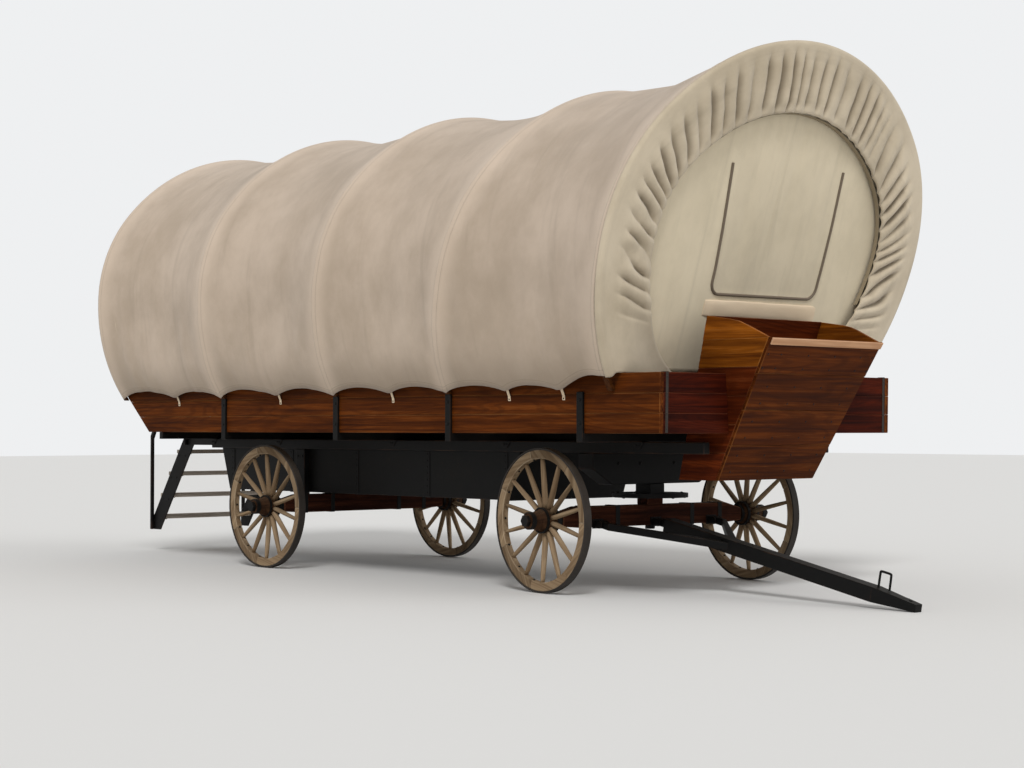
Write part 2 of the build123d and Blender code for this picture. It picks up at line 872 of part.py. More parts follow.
# Front box: boards that taper down and lean forward, open at the top
box_outline = (  # Y behind the front axle, height
    (-box_front_bottom, box_bottom_z),
    (-box_front_top, box_front_top_z),
    (-body_front - box_knee_out, box_knee_z),
    (front_y(box_back, box_top_z), box_top_z),
    (front_y(box_back, box_bottom_z), box_bottom_z),
)
lean = (box_front_top - box_front_bottom) / (box_front_top_z - box_bottom_z)
front_skin = box_board * hypot(1, lean)
back_skin = box_board * hypot(1, bonnet_rake)

with BuildPart() as front_box_sides:
    with BuildSketch(along(0)):
        with BuildLine():
            Polyline(
                (front_skin - box_front_bottom, box_bottom_z),
                (front_skin - box_front_top, box_front_top_z),
                *box_outline[2:],
                close=True,
            )
        make_face()
    extrude(amount=2 * box_top_half, both=True)
    with BuildSketch(across(0)):
        box_width(0)
    extrude(amount=2 * box_front_top, both=True, mode=Mode.INTERSECT)
    with BuildSketch(across(0)):
        box_width(box_board)
    extrude(amount=2 * box_front_top, both=True, mode=Mode.SUBTRACT)
save(front_box_sides.part, "front_box_sides")

with BuildPart() as front_box_front:
    with BuildSketch(along(0)):
        with BuildLine():
            Polyline(
                (-box_front_bottom, box_bottom_z),
                (front_skin - box_front_bottom, box_bottom_z),
                (front_skin - box_front_top, box_front_top_z),
                (-box_front_top, box_front_top_z),
                close=True,
            )
        make_face()
    extrude(amount=2 * box_top_half, both=True)
    with BuildSketch(across(0)):
        box_width(0)
    extrude(amount=2 * box_front_top, both=True, mode=Mode.INTERSECT)
save(front_box_front.part, "front_box_front")

with BuildPart() as front_box_back:
    with BuildSketch(along(0)):
        with BuildLine():
            Polyline(
                (front_y(box_back - back_skin, box_bottom_z), box_bottom_z),
                (front_y(box_back, box_bottom_z), box_bottom_z),
                (front_y(box_back, box_top_z), box_top_z),
                (front_y(box_back - back_skin, box_top_z), box_top_z),
                close=True,
            )
        make_face()
    extrude(amount=2 * box_top_half, both=True)
    with BuildSketch(across(0)):
        box_width(box_board)
    extrude(amount=2 * box_front_top, both=True, mode=Mode.INTERSECT)
save(front_box_back.part, "front_box_back")

floor_top = box_bottom_z + box_board
with BuildPart() as front_box_floor:
    with BuildSketch(along(0)):
        with BuildLine():
            Polyline(
                (front_skin - box_front_bottom, box_bottom_z),
                (front_skin - box_front_bottom - lean * box_board, floor_top),
                (front_y(box_back - back_skin, floor_top), floor_top),
                (front_y(box_back - back_skin, box_bottom_z), box_bottom_z),
                close=True,
            )
        make_face()
    extrude(amount=2 * box_top_half, both=True)
    with BuildSketch(across(0)):
        box_width(box_board)
    extrude(amount=2 * box_front_top, both=True, mode=Mode.INTERSECT)
save(front_box_floor.part, "front_box_floor")

# Steps: bent steel stringers under the landing, with plank treads between them
stringer_in = landing_w / 2 - stringer_t
with BuildPart() as step_stringers:
    with BuildSketch(along(stringer_in)):
        with BuildLine():
            Polyline(
                (rear_sill + sill_w / 2, floor_z),
                (landing_end, floor_z),
                (foot_y, stringer_foot_z + stringer_h),
                (foot_y, stringer_foot_z),
                (foot_y - stringer_h, stringer_foot_z),
                (landing_end - stringer_h, floor_z - stringer_h),
                (rear_sill + sill_w / 2, floor_z - stringer_h),
                close=True,
            )
        make_face()
    extrude(amount=stringer_t)
    mirror(about=Plane.YZ)
save(step_stringers.part, "step_stringers")

with BuildPart() as step_treads:
    for step in range(1, step_count + 1):
        tread_y = landing_end + step_run * (step - 0.5)
        with BuildSketch(level(deck_z - step_rise * step - tread_t)):
            with Locations((0, tread_y)):
                Rectangle(2 * stringer_in, tread_d)
        extrude(amount=tread_t)
save(step_treads.part, "step_treads")

# Hand rails: a post at the foot of the steps, one on the landing, and the rail between them
hand_x = stringer_in + stringer_t
top_post = landing_end - hand_tube / 2
with BuildPart() as hand_rails:
    with BuildSketch(along(hand_x)):
        with BuildLine():
            Polyline(
                (top_post - hand_tube / 2, floor_z - stringer_h),
                (top_post - hand_tube / 2, deck_z + hand_h),
                (top_post + hand_tube / 2, deck_z + hand_h),
                (foot_y + hand_tube / 2, stringer_foot_z + hand_h),
                (foot_y + hand_tube / 2, stringer_foot_z),
                (foot_y - hand_tube / 2, stringer_foot_z),
                (foot_y - hand_tube / 2, stringer_foot_z + hand_h - hand_tube),
                (top_post + hand_tube / 2, deck_z + hand_h - 2 * hand_tube),
                (top_post + hand_tube / 2, floor_z - stringer_h),
                close=True,
            )
        make_face()
    extrude(amount=hand_tube)
    mirror(about=Plane.YZ)
save(hand_rails.part, "hand_rails")

# Brackets on the front axle: two ears at each side and in the middle, with pins for the tongue
eye_slot = eye_w + 2 * eye_play
with BuildPart() as tongue_brackets:
    for place in (-hound_place, 0, hound_place):
        low = place - eye_slot / 2 - ear_t
        for x in (low, low + eye_slot + ear_t):
            with BuildSketch(Plane.YZ.offset(x)):
                with Locations((-tongue_pin_y, tongue_pin_z)):
                    Circle(eye_r)
                rect(-tongue_pin_y, -beam_y / 2, tongue_pin_z - ear_below, tongue_pin_z + eye_r)
            extrude(amount=ear_t)
        with BuildSketch(Plane.YZ.offset(low)):
            with Locations((-tongue_pin_y, tongue_pin_z)):
                Circle(tongue_pin_r)
        extrude(amount=eye_slot + 2 * ear_t)
save(tongue_brackets.part.moved(gear.location), "tongue_brackets")

# Tongue, drawn flat about its pins: -Y runs towards its tip
tongue_plane = Plane(
    origin=gear.from_local_coords((0, -tongue_pin_y, tongue_pin_z)),
    x_dir=gear.x_dir,
    z_dir=gear.y_dir * -sin(drop) + Vector(0, 0, cos(drop)),
)
with BuildPart() as tongue_hounds:
    with BuildSketch(Plane.XY.offset(-hound_h / 2)):
        with BuildLine():
            Polyline(
                (hound_place - eye_w / 2, -eye_r),
                (hound_place + eye_w / 2, -eye_r),
                (hound_place + eye_w / 2, -neck),
                (pole / 2, -hound_meet - hound_w),
                (pole / 2, -hound_meet + hound_w),
                (hound_place - eye_w / 2, -neck),
                close=True,
            )
        make_face()
    extrude(amount=hound_h)
    with BuildSketch(Plane.YZ.offset(hound_place - eye_w / 2)):
        Circle(eye_r)
        rect(-2 * eye_r, 0, -hound_h / 2, hound_h / 2)
        Circle(tongue_pin_r + pin_gap, mode=Mode.SUBTRACT)
    extrude(amount=eye_w)
    mirror(about=Plane.YZ)
save(tongue_hounds.part.moved(tongue_plane.location), "tongue_hounds")

taper_y = -tongue_length + tip_taper
loop_y = -tongue_length + loop_in
hitch_y = -tongue_length + hitch_in
with BuildPart() as tongue_pole:
    with BuildSketch(Plane.XY):
        with BuildLine():
            Polyline(
                (-pole / 2, -neck),
                (pole / 2, -neck),
                (pole / 2, taper_y),
                (tip_half_w, -tongue_length),
                (-tip_half_w, -tongue_length),
                (-pole / 2, taper_y),
                close=True,
            )
        make_face()
    extrude(amount=pole, both=True)
    with BuildSketch(Plane.YZ):
        with BuildLine():
            Polyline(
                (-neck, -pole / 2),
                (-neck, pole / 2),
                (taper_y, pole / 2),
                (-tongue_length, tip_half_h),
                (-tongue_length, -tip_half_h),
                (taper_y, -pole / 2),
                close=True,
            )
        make_face()
    extrude(amount=pole, both=True, mode=Mode.INTERSECT)
    with BuildSketch(Plane.YZ):
        Circle(eye_r)
        rect(-neck, 0, -hound_h / 2, hound_h / 2)
        Circle(tongue_pin_r + pin_gap, mode=Mode.SUBTRACT)
    extrude(amount=eye_w / 2, both=True)
    with BuildSketch(Plane.YZ):
        rect(loop_y - loop_w / 2, loop_y + loop_w / 2, 0, pole / 2 + loop_h)
        rect(
            loop_y - loop_w / 2 + loop_t,
            loop_y + loop_w / 2 - loop_t,
            0,
            pole / 2 + loop_h - loop_t,
            mode=Mode.SUBTRACT,
        )
    extrude(amount=loop_t / 2, both=True)
    with BuildSketch(Plane.XY):
        with Locations((0, hitch_y)):
            Circle(hitch_r)
    extrude(amount=pole, both=True, mode=Mode.SUBTRACT)
save(tongue_pole.part.moved(tongue_plane.location), "tongue_pole")

print("front axle y", round(axle_y, 3), "tongue drop", round(degrees(drop), 3))
print("gear x", gear.x_dir, "tongue pins", tongue_plane.origin)
print("hitch", tongue_plane.from_local_coords((0, hitch_y, 0)), tongue_plane.z_dir)
print("loop", tongue_plane.from_local_coords((0, loop_y, (pole + loop_h - loop_t) / 2)))
print("gap beside the pole", tongue_plane.from_local_coords((-160, -200, 0)))
print("door hinge", round(hinge_x, 3), round(axle_y + hinge_y, 3))
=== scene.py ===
import random
from math import asin, atan2, cos, exp, pi, radians, sin, sqrt

import bmesh
import bpy
from mathutils import Matrix, Vector, noise


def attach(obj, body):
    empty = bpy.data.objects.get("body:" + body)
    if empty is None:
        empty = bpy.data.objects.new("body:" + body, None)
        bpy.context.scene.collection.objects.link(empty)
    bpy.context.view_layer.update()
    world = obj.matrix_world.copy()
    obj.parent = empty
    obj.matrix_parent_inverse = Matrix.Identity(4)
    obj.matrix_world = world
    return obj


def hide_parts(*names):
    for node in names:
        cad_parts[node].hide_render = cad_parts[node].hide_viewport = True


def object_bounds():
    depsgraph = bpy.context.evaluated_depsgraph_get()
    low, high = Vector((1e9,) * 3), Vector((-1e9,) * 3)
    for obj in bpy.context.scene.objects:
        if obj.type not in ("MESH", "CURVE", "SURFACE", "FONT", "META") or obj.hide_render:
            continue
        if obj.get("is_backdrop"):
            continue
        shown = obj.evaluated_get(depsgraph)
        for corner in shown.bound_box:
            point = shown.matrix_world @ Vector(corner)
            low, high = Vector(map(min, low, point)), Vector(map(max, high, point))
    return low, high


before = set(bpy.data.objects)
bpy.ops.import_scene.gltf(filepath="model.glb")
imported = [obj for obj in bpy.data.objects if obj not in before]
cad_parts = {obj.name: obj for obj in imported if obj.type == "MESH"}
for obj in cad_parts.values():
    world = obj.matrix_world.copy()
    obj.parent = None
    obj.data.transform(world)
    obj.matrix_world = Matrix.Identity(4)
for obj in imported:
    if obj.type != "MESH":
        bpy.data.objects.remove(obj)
cad_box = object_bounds()

# Side boards: three planks a side of stained softwood, on edge one above another. Their front ends are
# nearly upright and their rear ends raked. Each plank keeps its own grain and tone, and its edges are
# rubbed pale. Lengths are measured back from the front axle, and heights up from the ground.
axle_y = -1.739044
body_front = 1.24
body_rear = 4.95
floor_z = 1.12
side_z = 1.52
front_slope = 0.02
rear_slope = 1.15
front_lean = front_slope * (side_z - floor_z)
rear_lean = rear_slope * (side_z - floor_z)
board = 0.038
half_body = 1.205
inside = half_body - board
chance = random.Random(11)


class Value:
    """A number on its way through a finish."""

    def __init__(self, finish, socket):
        self.finish = finish
        self.socket = socket

    def maths(self, operation, first, second=0.0):
        """One operation on two numbers, in a Math node."""
        made = self.finish.node("Math", {"operation": operation}, {0: first, 1: second})
        return Value(self.finish, made.outputs[0])

    def __add__(self, other):
        return self.maths("ADD", self, other)

    def __sub__(self, other):
        return self.maths("SUBTRACT", self, other)

    def __rsub__(self, other):
        return self.maths("SUBTRACT", other, self)

    def __mul__(self, other):
        return self.maths("MULTIPLY", self, other)

    __radd__ = __add__
    __rmul__ = __mul__

    def ramp(self, low, high):
        """Nought at low, one at high, smooth between."""
        settings = {"interpolation_type": "SMOOTHSTEP"}
        made = self.finish.node("MapRange", settings, {0: self, 1: low, 2: high})
        return Value(self.finish, made.outputs[0])

    def ripple(self):
        """A wave between nought and one, one whole wave for each unit."""
        return self.maths("SINE", self * (2 * pi)) * 0.5 + 0.5

    def nearest(self):
        """How far the number is from the nearest whole one."""
        return self.maths("PINGPONG", self, 0.5)


class Finish:
    """A finish being mixed: the material, and the shader that its nodes feed."""

    def __init__(self, name, fixed):
        self.material = bpy.data.materials.new(name)
        self.material.use_nodes = True
        self.tree = self.material.node_tree
        self.shader = self.tree.nodes["Principled BSDF"]
        self.feed(self.shader, fixed)

    def feed(self, node, sockets):
        """Sets the sockets of a node, or links them."""
        for key, value in sockets.items():
            socket = node.inputs[key]
            if isinstance(value, Value):
                value = value.socket
            if isinstance(value, bpy.types.NodeSocket):
                self.tree.links.new(value, socket)
            elif socket.type == "RGBA":
                socket.default_value = (*value, 1)
            else:
                socket.default_value = value

    def node(self, kind, settings, sockets):
        """Any node: its settings first, then its sockets."""
        made = self.tree.nodes.new("ShaderNode" + kind)
        for key, value in settings.items():
            setattr(made, key, value)
        self.feed(made, sockets)
        return made

    def where(self, source, scale=(1, 1, 1)):
        """Places on the object, or in one of its attributes, stretched by scale."""
        if source == "object":
            found = self.node("TexCoord", {}, {}).outputs["Object"]
        else:
            found = self.node("Attribute", {"attribute_name": source}, {}).outputs["Vector"]
        return self.node("Mapping", {}, {"Vector": found, "Scale": scale}).outputs[0]

    def number(self, name):
        """An attribute of the mesh."""
        return Value(self, self.node("Attribute", {"attribute_name": name}, {}).outputs["Fac"])

    def part(self, vector, axis):
        """One number of a vector."""
        return Value(self, self.node("SeparateXYZ", {}, {0: vector}).outputs[axis])

    def cloud(self, where, detail=3.0, rough=0.55, bend=0.0):
        """Cloudy noise between nought and one."""
        sockets = {"Vector": where, "Scale": 1.0, "Detail": detail, "Roughness": rough, "Distortion": bend}
        return Value(self, self.node("TexNoise", {}, sockets).outputs[0])

    def blend(self, factor, low, high, how="MIX"):
        """Colour between low and high."""
        settings = {"data_type": "RGBA", "blend_type": how}
        return self.node("Mix", settings, {0: factor, 6: low, 7: high}).outputs[2]

    def upward(self):
        """One on faces that look up, nought on the rest."""
        normal = self.node("NewGeometry", {}, {}).outputs["Normal"]
        return self.part(normal, 2)

    def relief(self, height, distance):
        """Bumps all over, distance high where height is one."""
        bump = self.node("Bump", {}, {"Height": height, "Distance": distance})
        self.feed(self.shader, {"Normal": bump.outputs[0]})


def timber(name, dark, light, pale, polish=0.5, rubbed=0.6, dusty=0.25):
    """Stained wood: grain along each board, a tone for each board, pale rubbed edges, dust on top."""
    finish = Finish(name, {"Specular IOR Level": 0.05})
    fibre = finish.cloud(finish.where("grain", (7, 300, 300)), 2)
    streak = finish.cloud(finish.where("grain", (0.8, 24, 24)), 5, 0.62, 0.6)
    swirl = finish.cloud(finish.where("grain", (0.5, 5, 5)), 1.5, 0.4, 0.5)
    lines = (swirl * 16).ripple()
    blot = finish.cloud(finish.where("grain", (1.6, 3.5, 3.5)), 3, 0.6)
    tone = finish.number("board")
    colour = finish.blend(streak.ramp(0.28, 0.72), dark, light)
    colour = finish.blend(lines.ramp(0.45, 1) * 0.34, colour, dark)
    colour = finish.blend(blot.ramp(0.35, 0.75) * 0.45, colour, dark)
    colour = finish.blend(1.0, colour, tone * 0.5 + 0.72, "MULTIPLY")
    worn = finish.number("worn") * blot.ramp(0.62, 0.35) * rubbed + (fibre * streak).ramp(0.3, 0.42) * 0.25
    colour = finish.blend(worn, colour, pale)
    dust = finish.upward().ramp(0.5, 0.98) * (blot * 0.7 + 0.3) * dusty
    colour = finish.blend(dust * 0.6, colour, (0.26, 0.2, 0.14))
    finish.feed(finish.shader, {"Base Color": colour, "Roughness": streak * 0.25 + (polish + dust * 0.3)})
    finish.relief(fibre * 0.35 + streak * 0.5 + lines * 0.15, 0.0022)
    return finish


class Work:
    """A piece on the bench: each shape added keeps its own grain, tone and finish."""

    def __init__(self):
        self.whole = bmesh.new()
        self.layers(self.whole)

    def layers(self, shape):
        """Layers for the grain and the tone, beside the one that marks worn edges."""
        if not shape.faces.layers.float.get("worn"):
            shape.faces.layers.float.new("worn")
        return shape.verts.layers.float_vector.new("grain"), shape.verts.layers.float.new("board")

    def add(self, shape, along="y", finish=0, smooth=False, place=None):
        """Adds a shape with its grain along x, y or z, and moves it to its place."""
        grain, number = self.layers(shape)
        tone = chance.random()
        order = {"x": (0, 1, 2), "y": (1, 0, 2), "z": (2, 0, 1)}[along]
        away = Vector((31.7, 17.3, 23.9)) * tone
        for vert in shape.verts:
            vert[grain] = Vector([vert.co[axis] for axis in order]) + away
            vert[number] = tone
        for face in shape.faces:
            face.material_index = finish
            face.smooth = smooth
        if place:
            shape.transform(place)
        part = bpy.data.meshes.new("part")
        shape.to_mesh(part)
        shape.free()
        self.whole.from_mesh(part)
        bpy.data.meshes.remove(part)

    def mesh(self, name, finishes):
        """The whole piece, with its finishes in the order of their numbers."""
        made = bpy.data.meshes.new(name)
        self.whole.to_mesh(made)
        self.whole.free()
        for finish in finishes:
            made.materials.append(finish.material)
        return made

    def fit(self, name, finishes, body, slot, nodes=()):
        """Puts the whole piece on the wagon, in place of the nodes that it stands for."""
        return settle(self.mesh(name, finishes), name, body, nodes)


def settle(mesh, name, body, nodes=()):
    """Makes a finished mesh a piece of the wagon, which rides with one of its bodies."""
    piece = bpy.data.objects.new(name, mesh)
    bpy.context.collection.objects.link(piece)
    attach(piece, body)
    if nodes:
        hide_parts(*nodes)
    return piece


def pushed(outline, axis, low, high):
    """A solid: an outline across x, y or z, pushed out from low to high."""
    shape = bmesh.new()
    spots = {"x": lambda u, v: (low, u, v), "y": lambda u, v: (u, low, v), "z": lambda u, v: (u, v, low)}
    face = shape.faces.new([shape.verts.new(spots[axis](*point)) for point in outline])
    grown = bmesh.ops.extrude_face_region(shape, geom=[face])["geom"]
    way = Vector([high - low if name == axis else 0 for name in "xyz"])
    bmesh.ops.translate(shape, verts=[v for v in grown if isinstance(v, bmesh.types.BMVert)], vec=way)
    bmesh.ops.recalc_face_normals(shape, faces=shape.faces)
    return shape


def trimmed(shape, point, normal):
    """Saws off what is past a plane, and closes the cut."""
    everything = shape.verts[:] + shape.edges[:] + shape.faces[:]
    cut = bmesh.ops.bisect_plane(shape, geom=everything, plane_co=point, plane_no=normal, clear_outer=True)
    rim = [e for e in cut["geom_cut"] if isinstance(e, bmesh.types.BMEdge)]
    if rim:
        bmesh.ops.edgeloop_fill(shape, edges=rim)
    return shape


def eased(shape, edge, segments=1, corners=None):
    """Rounds all edges, or only the given corners, and marks them as worn."""
    worn = shape.faces.layers.float.new("worn")
    made = bmesh.ops.bevel(
        shape,
        geom=shape.edges if corners is None else corners,
        offset=edge,
        segments=segments,
        profile=0.5,
        affect="EDGES",
        clamp_overlap=True,
        material=-1,
    )
    for face in made["faces"]:
        face[worn] = 1
    return shape


def planks(outline, axis, low, high, across, edges, gap=0.0006, saws=()):
    """Boards side by side, cut across x, y or z at each of the edges."""
    made = []
    way = Vector([name == across for name in "xyz"])
    for start, stop in zip(edges, edges[1:]):
        shape = pushed(outline, axis, low, high)
        trimmed(shape, way * (start + gap / 2), -way)
        trimmed(shape, way * (stop - gap / 2), way)
        for point, normal in saws:
            trimmed(shape, point, normal)
        made.append(eased(shape, 0.004))
    return made


def even(low, high, count):
    """Edges from low to high, the same distance apart."""
    return [low + (high - low) * i / count for i in range(count + 1)]


def from_axle(*points):
    """An outline seen from the side, its points given behind the front axle and up."""
    return [(axle_y + y, z) for y, z in points]


def sided(hand, near, far):
    """A span across one side of the wagon: hand is 1 on the left and -1 on the right."""
    return sorted((hand * near, hand * far))


body_timber = timber("body_timber", (0.035, 0.0075, 0.001), (0.15, 0.036, 0.004), (0.23, 0.09, 0.024))
side_outline = from_axle(
    (-body_front, floor_z),
    (body_rear, floor_z),
    (body_rear + rear_lean, side_z),
    (-body_front - front_lean, side_z),
)
board_edges = even(floor_z, side_z, 3)
for hand, name in ((1, "left"), (-1, "right")):
    sides = Work()
    for plank in planks(side_outline, "x", *sided(hand, inside, half_body), "z", board_edges):
        sides.add(plank, "y")
    sides.fit(f"{name}_side_planks", [body_timber], "root", "body_wood", [f"{name}_side_board"])

# Stakes: flat steel bars painted black, each bolted through a side board, with its foot down on
# the end of a cross sill.
stake_places = (-0.52, 0.85, 2.2, 3.75)
stake_face = half_body + 0.02
stake_top = 1.3997
sill_z = 1.06


def black_paint(name, colour=(0.003, 0.003, 0.003), rust=0.2, dusty=0.09):
    """Satin black paint on steel: dull dust on top, rust where edges are rubbed through."""
    finish = Finish(name, {"Specular IOR Level": 0.16})
    orange = finish.cloud(finish.where("object", (260, 260, 260)), 2)
    patch = finish.cloud(finish.where("object", (3.1, 3.1, 3.1)), 5, 0.65)
    speck = finish.cloud(finish.where("object", (38, 38, 38)), 3, 0.6)
    rubbed = (finish.number("worn") * patch.ramp(0.42, 0.62) + speck.ramp(0.66, 0.74) * 0.5) * rust
    dust = finish.upward().ramp(0.3, 0.95) * (patch * 0.8 + 0.2) * dusty + patch.ramp(0.5, 0.8) * 0.02
    tint = finish.blend(patch.ramp(0.3, 0.7) * 0.5, colour, (0.006, 0.0055, 0.005))
    tint = finish.blend(rubbed, tint, (0.13, 0.055, 0.025))
    tint = finish.blend(dust, tint, (0.2, 0.165, 0.125))
    finish.feed(finish.shader, {"Base Color": tint, "Roughness": patch * 0.2 + (dust * 0.3 + 0.42)})
    finish.relief(orange * 0.4 + speck * 0.6, 0.0006)
    return finish


def bar(x, y, z, edge=0.004):
    """Squared bar between pairs of sizes across, behind the front axle and up."""
    outline = from_axle((y[0], z[0]), (y[1], z[0]), (y[1], z[1]), (y[0], z[1]))
    return eased(pushed(outline, "x", *x), edge, 2)


def dome(spot, way, radius, proud):
    """Round head of a carriage bolt or nail, looking along way."""
    shape = bmesh.new()
    bmesh.ops.create_uvsphere(shape, u_segments=8, v_segments=6, radius=radius)
    flat = Matrix.Diagonal((1, 1, proud / radius, 1))
    turn = Vector(way).to_track_quat("Z", "Y").to_matrix().to_4x4()
    shape.transform(Matrix.Translation(spot) @ turn @ flat)
    return shape


paint = black_paint("black_paint")
for hand, name in ((1, "left"), (-1, "right")):
    stakes = Work()
    for y in stake_places:
        stakes.add(bar(sided(hand, half_body, stake_face), (y - 0.03, y + 0.03), (sill_z, stake_top)), "z")
        for z in (1.187, 1.345):
            stakes.add(dome((hand * stake_face, axle_y + y, z), (hand, 0, 0), 0.013, 0.007))
    stakes.fit(f"{name}_stake_bars", [paint], "root", "black_steel", [f"{name}_stakes"])

# Deck: lengthwise floor planks, notched for the front box, with a landing of the same planks
# through the rear doorway. They lie on the cross sills, worn pale underfoot.
deck_z = floor_z + board
front_inner, rear_inner = -1.202, 4.8921
notch_half, notch_end = 0.5379, -0.8513
landing_half, landing_end = 0.5, 5.45
walked_looks = {"polish": 0.62, "rubbed": 0.7, "dusty": 0.45}
walked = timber("walked_timber", (0.16, 0.09, 0.045), (0.36, 0.24, 0.14), (0.48, 0.37, 0.25), **walked_looks)
deck = Work()
for edges, front, rear in (
    (even(-inside, -notch_half, 4), front_inner, rear_inner),
    (even(notch_half, inside, 4), front_inner, rear_inner),
    ([-notch_half, -landing_half], notch_end, rear_inner),
    ([landing_half, notch_half], notch_end, rear_inner),
    (even(-landing_half, landing_half, 7), notch_end, landing_end),
):
    outline = from_axle((front, floor_z), (rear, floor_z), (rear, deck_z), (front, deck_z))
    for plank in planks(outline, "x", -inside, inside, "x", edges, 0.003):
        deck.add(plank, "y")
deck.fit("deck_planks", [walked], "root", "body_wood", ["deck"])

# End boards: planks across each end, in line with the ends of the sides, stopped at the front box
# and at the rear landing, and nailed to the side boards.
box_timber = timber("box_timber", (0.03, 0.004, 0.001), (0.145, 0.024, 0.003), (0.21, 0.065, 0.02))
# The front end boards take a darker, redder copy of the body timber: painted shade on them.
front_end_shade_timber = timber("front_end_shade_timber", (0.015, 0.002, 0.001), (0.075, 0.009, 0.002), (0.13, 0.03, 0.012))
box_slope = 0.09 / 0.95
box_at_floor = 0.5308
nail_heights = (1.16, 1.21, 1.29, 1.345, 1.42, 1.48)
nail_x = inside - 0.03
front_ends = Work()
outline = from_axle(
    (-body_front, floor_z),
    (front_inner, floor_z),
    (front_inner - front_lean, side_z),
    (-body_front - front_lean, side_z),
)
for hand in (1, -1):
    saw = [((hand * box_at_floor, 0, floor_z), (-hand, 0, box_slope))]
    for plank in planks(outline, "x", *sided(hand, 0.4, inside), "z", board_edges, saws=saw):
        front_ends.add(plank, "x")
    for z in nail_heights:
        spot = (hand * nail_x, axle_y - body_front - front_slope * (z - floor_z), z)
        front_ends.add(dome(spot, (0, -1, -front_slope), 0.008, 0.003), finish=1)
front_ends.fit("front_end_planks", [front_end_shade_timber, paint], "root", "box_wood", ["front_end_boards"])

rear_ends = Work()
outline = from_axle(
    (body_rear, floor_z),
    (rear_inner, floor_z),
    (rear_inner + rear_lean, side_z),
    (body_rear + rear_lean, side_z),
)
for hand in (1, -1):
    for plank in planks(outline, "x", *sided(hand, 0.5003, inside), "z", board_edges):
        rear_ends.add(plank, "x")
    for z in nail_heights:
        spot = (hand * nail_x, axle_y + body_rear + rear_slope * (z - floor_z), z)
        rear_ends.add(dome(spot, (0, 1, -rear_slope), 0.008, 0.003), finish=1)
rear_ends.fit("rear_end_planks", [body_timber, paint], "root", "body_wood", ["rear_end_boards"])

# Bulkhead: three stained planks across under the front curtain, leaning with it. They are fixed
# between the side boards and stand on the deck.
bulkhead_foot, bulkhead_top = -0.6726, -0.7895
bulkhead = Work()
outline = from_axle(
    (bulkhead_foot - board, deck_z),
    (bulkhead_foot, deck_z),
    (bulkhead_top, side_z),
    (bulkhead_top - board, side_z),
)
for plank in planks(outline, "x", -inside, inside, "z", even(deck_z, side_z, 3)):
    bulkhead.add(plank, "x")
bulkhead.fit("bulkhead_planks", [box_timber], "root", "box_wood", ["front_bulkhead"])

# Front box: sides, front, back and floor of planks, open on top, tapering down and leaning forward.
# The front planks are nailed on, with a strip of bare pale wood along their top edge.
# The lighter timber for the top planks of the box sides is a painted highlight, where light falls on the top
# of the box.
box_highlight_timber = timber("box_highlight_timber", (0.09, 0.021, 0.002), (0.36, 0.105, 0.007), (0.42, 0.17, 0.04), 0.42)
front_gold = timber("front_gold", (0.033, 0.0065, 0.001), (0.135, 0.031, 0.003), (0.2, 0.075, 0.02), 0.45)
strip_wood = timber("strip_wood", (0.33, 0.17, 0.09), (0.52, 0.3, 0.17), (0.6, 0.4, 0.26))
box_foot, box_knee, box_top = 0.8, 1.75, 1.91
front_foot, front_knee, front_plank = -1.0851, -1.6341, 0.0289
back_foot, back_top, back_plank = -0.752, -1.1105, 0.0263
box_side, box_inset = 0.025, 0.0255
box_lean = 0.5779
uncut = 0.7


def box_half(z):
    """Half the width of the box at a height."""
    return 0.5 + box_slope * (z - box_foot)


def tapered(inset=0.0):
    """Saw cuts that bring uncut planks to the taper of the box, inside its outer faces by inset."""
    half = box_half(box_foot) - inset
    return [((hand * half, 0, box_foot), (hand, 0, -box_slope)) for hand in (1, -1)]


box_sides = Work()
outline = from_axle(
    (front_foot, box_foot),
    (front_knee, box_knee),
    (-1.45, 1.8375),
    (-1.38, 1.865),
    (-1.3, 1.882),
    (back_top, box_top),
    (back_foot, box_foot),
)
levels = [*even(box_foot, box_knee, 5), box_top]
for hand in (1, -1):
    lean = Matrix.Translation((hand * box_half(0), 0, 0))
    lean[0][2] = hand * box_slope
    for number, plank in enumerate(planks(outline, "x", *sided(-hand, 0, box_side), "z", levels)):
        # The top two planks of each side take the lighter timber: painted highlight.
        box_sides.add(plank, "y", finish=1 if number > 3 else 0, place=lean)
box_sides.fit("box_side_planks", [box_timber, box_highlight_timber], "root", "box_wood", ["front_box_sides"])

box_front = Work()
outline = from_axle(
    (front_foot - front_plank, box_foot),
    (front_foot, box_foot),
    (front_knee, box_knee),
    (front_knee - front_plank, box_knee),
)
for plank in planks(outline, "x", -uncut, uncut, "z", even(box_foot, box_knee, 4), saws=tapered()):
    box_front.add(plank, "x", finish=1)
strip = pushed([(-0.585, 0), (0.585, 0), (0.58, -0.05), (-0.58, -0.05)], "y", 0, -0.012)
leaned = Matrix.Rotation(atan2(box_lean, 1), 4, "X")
top_edge = Matrix.Translation((0, axle_y + front_knee - front_plank, box_knee - 0.003))
box_front.add(eased(strip, 0.003), "x", finish=2, place=top_edge @ leaned)
for x in (-0.55, -0.42, -0.14, 0.14, 0.42, 0.55):
    for z in (0.86, 0.97, 1.09, 1.2, 1.32, 1.43, 1.55, 1.64):
        if abs(x) < box_half(z) - 0.02:
            spot = (x, axle_y + front_foot - front_plank - box_lean * (z - box_foot), z)
            box_front.add(dome(spot, (0, -1, -box_lean), 0.007, 0.003), finish=3)
finishes = [box_timber, front_gold, strip_wood, paint]
box_front.fit("box_front_planks", finishes, "root", "box_wood", ["front_box_front"])

box_back = Work()
outline = from_axle(
    (back_foot - back_plank, box_foot),
    (back_foot, box_foot),
    (back_top, box_top),
    (back_top - back_plank, box_top),
)
for plank in planks(outline, "x", -uncut, uncut, "z", even(box_foot, box_top, 5), saws=tapered(box_inset)):
    box_back.add(plank, "x")
box_back.fit("box_back_planks", [box_timber], "root", "box_wood", ["front_box_back"])

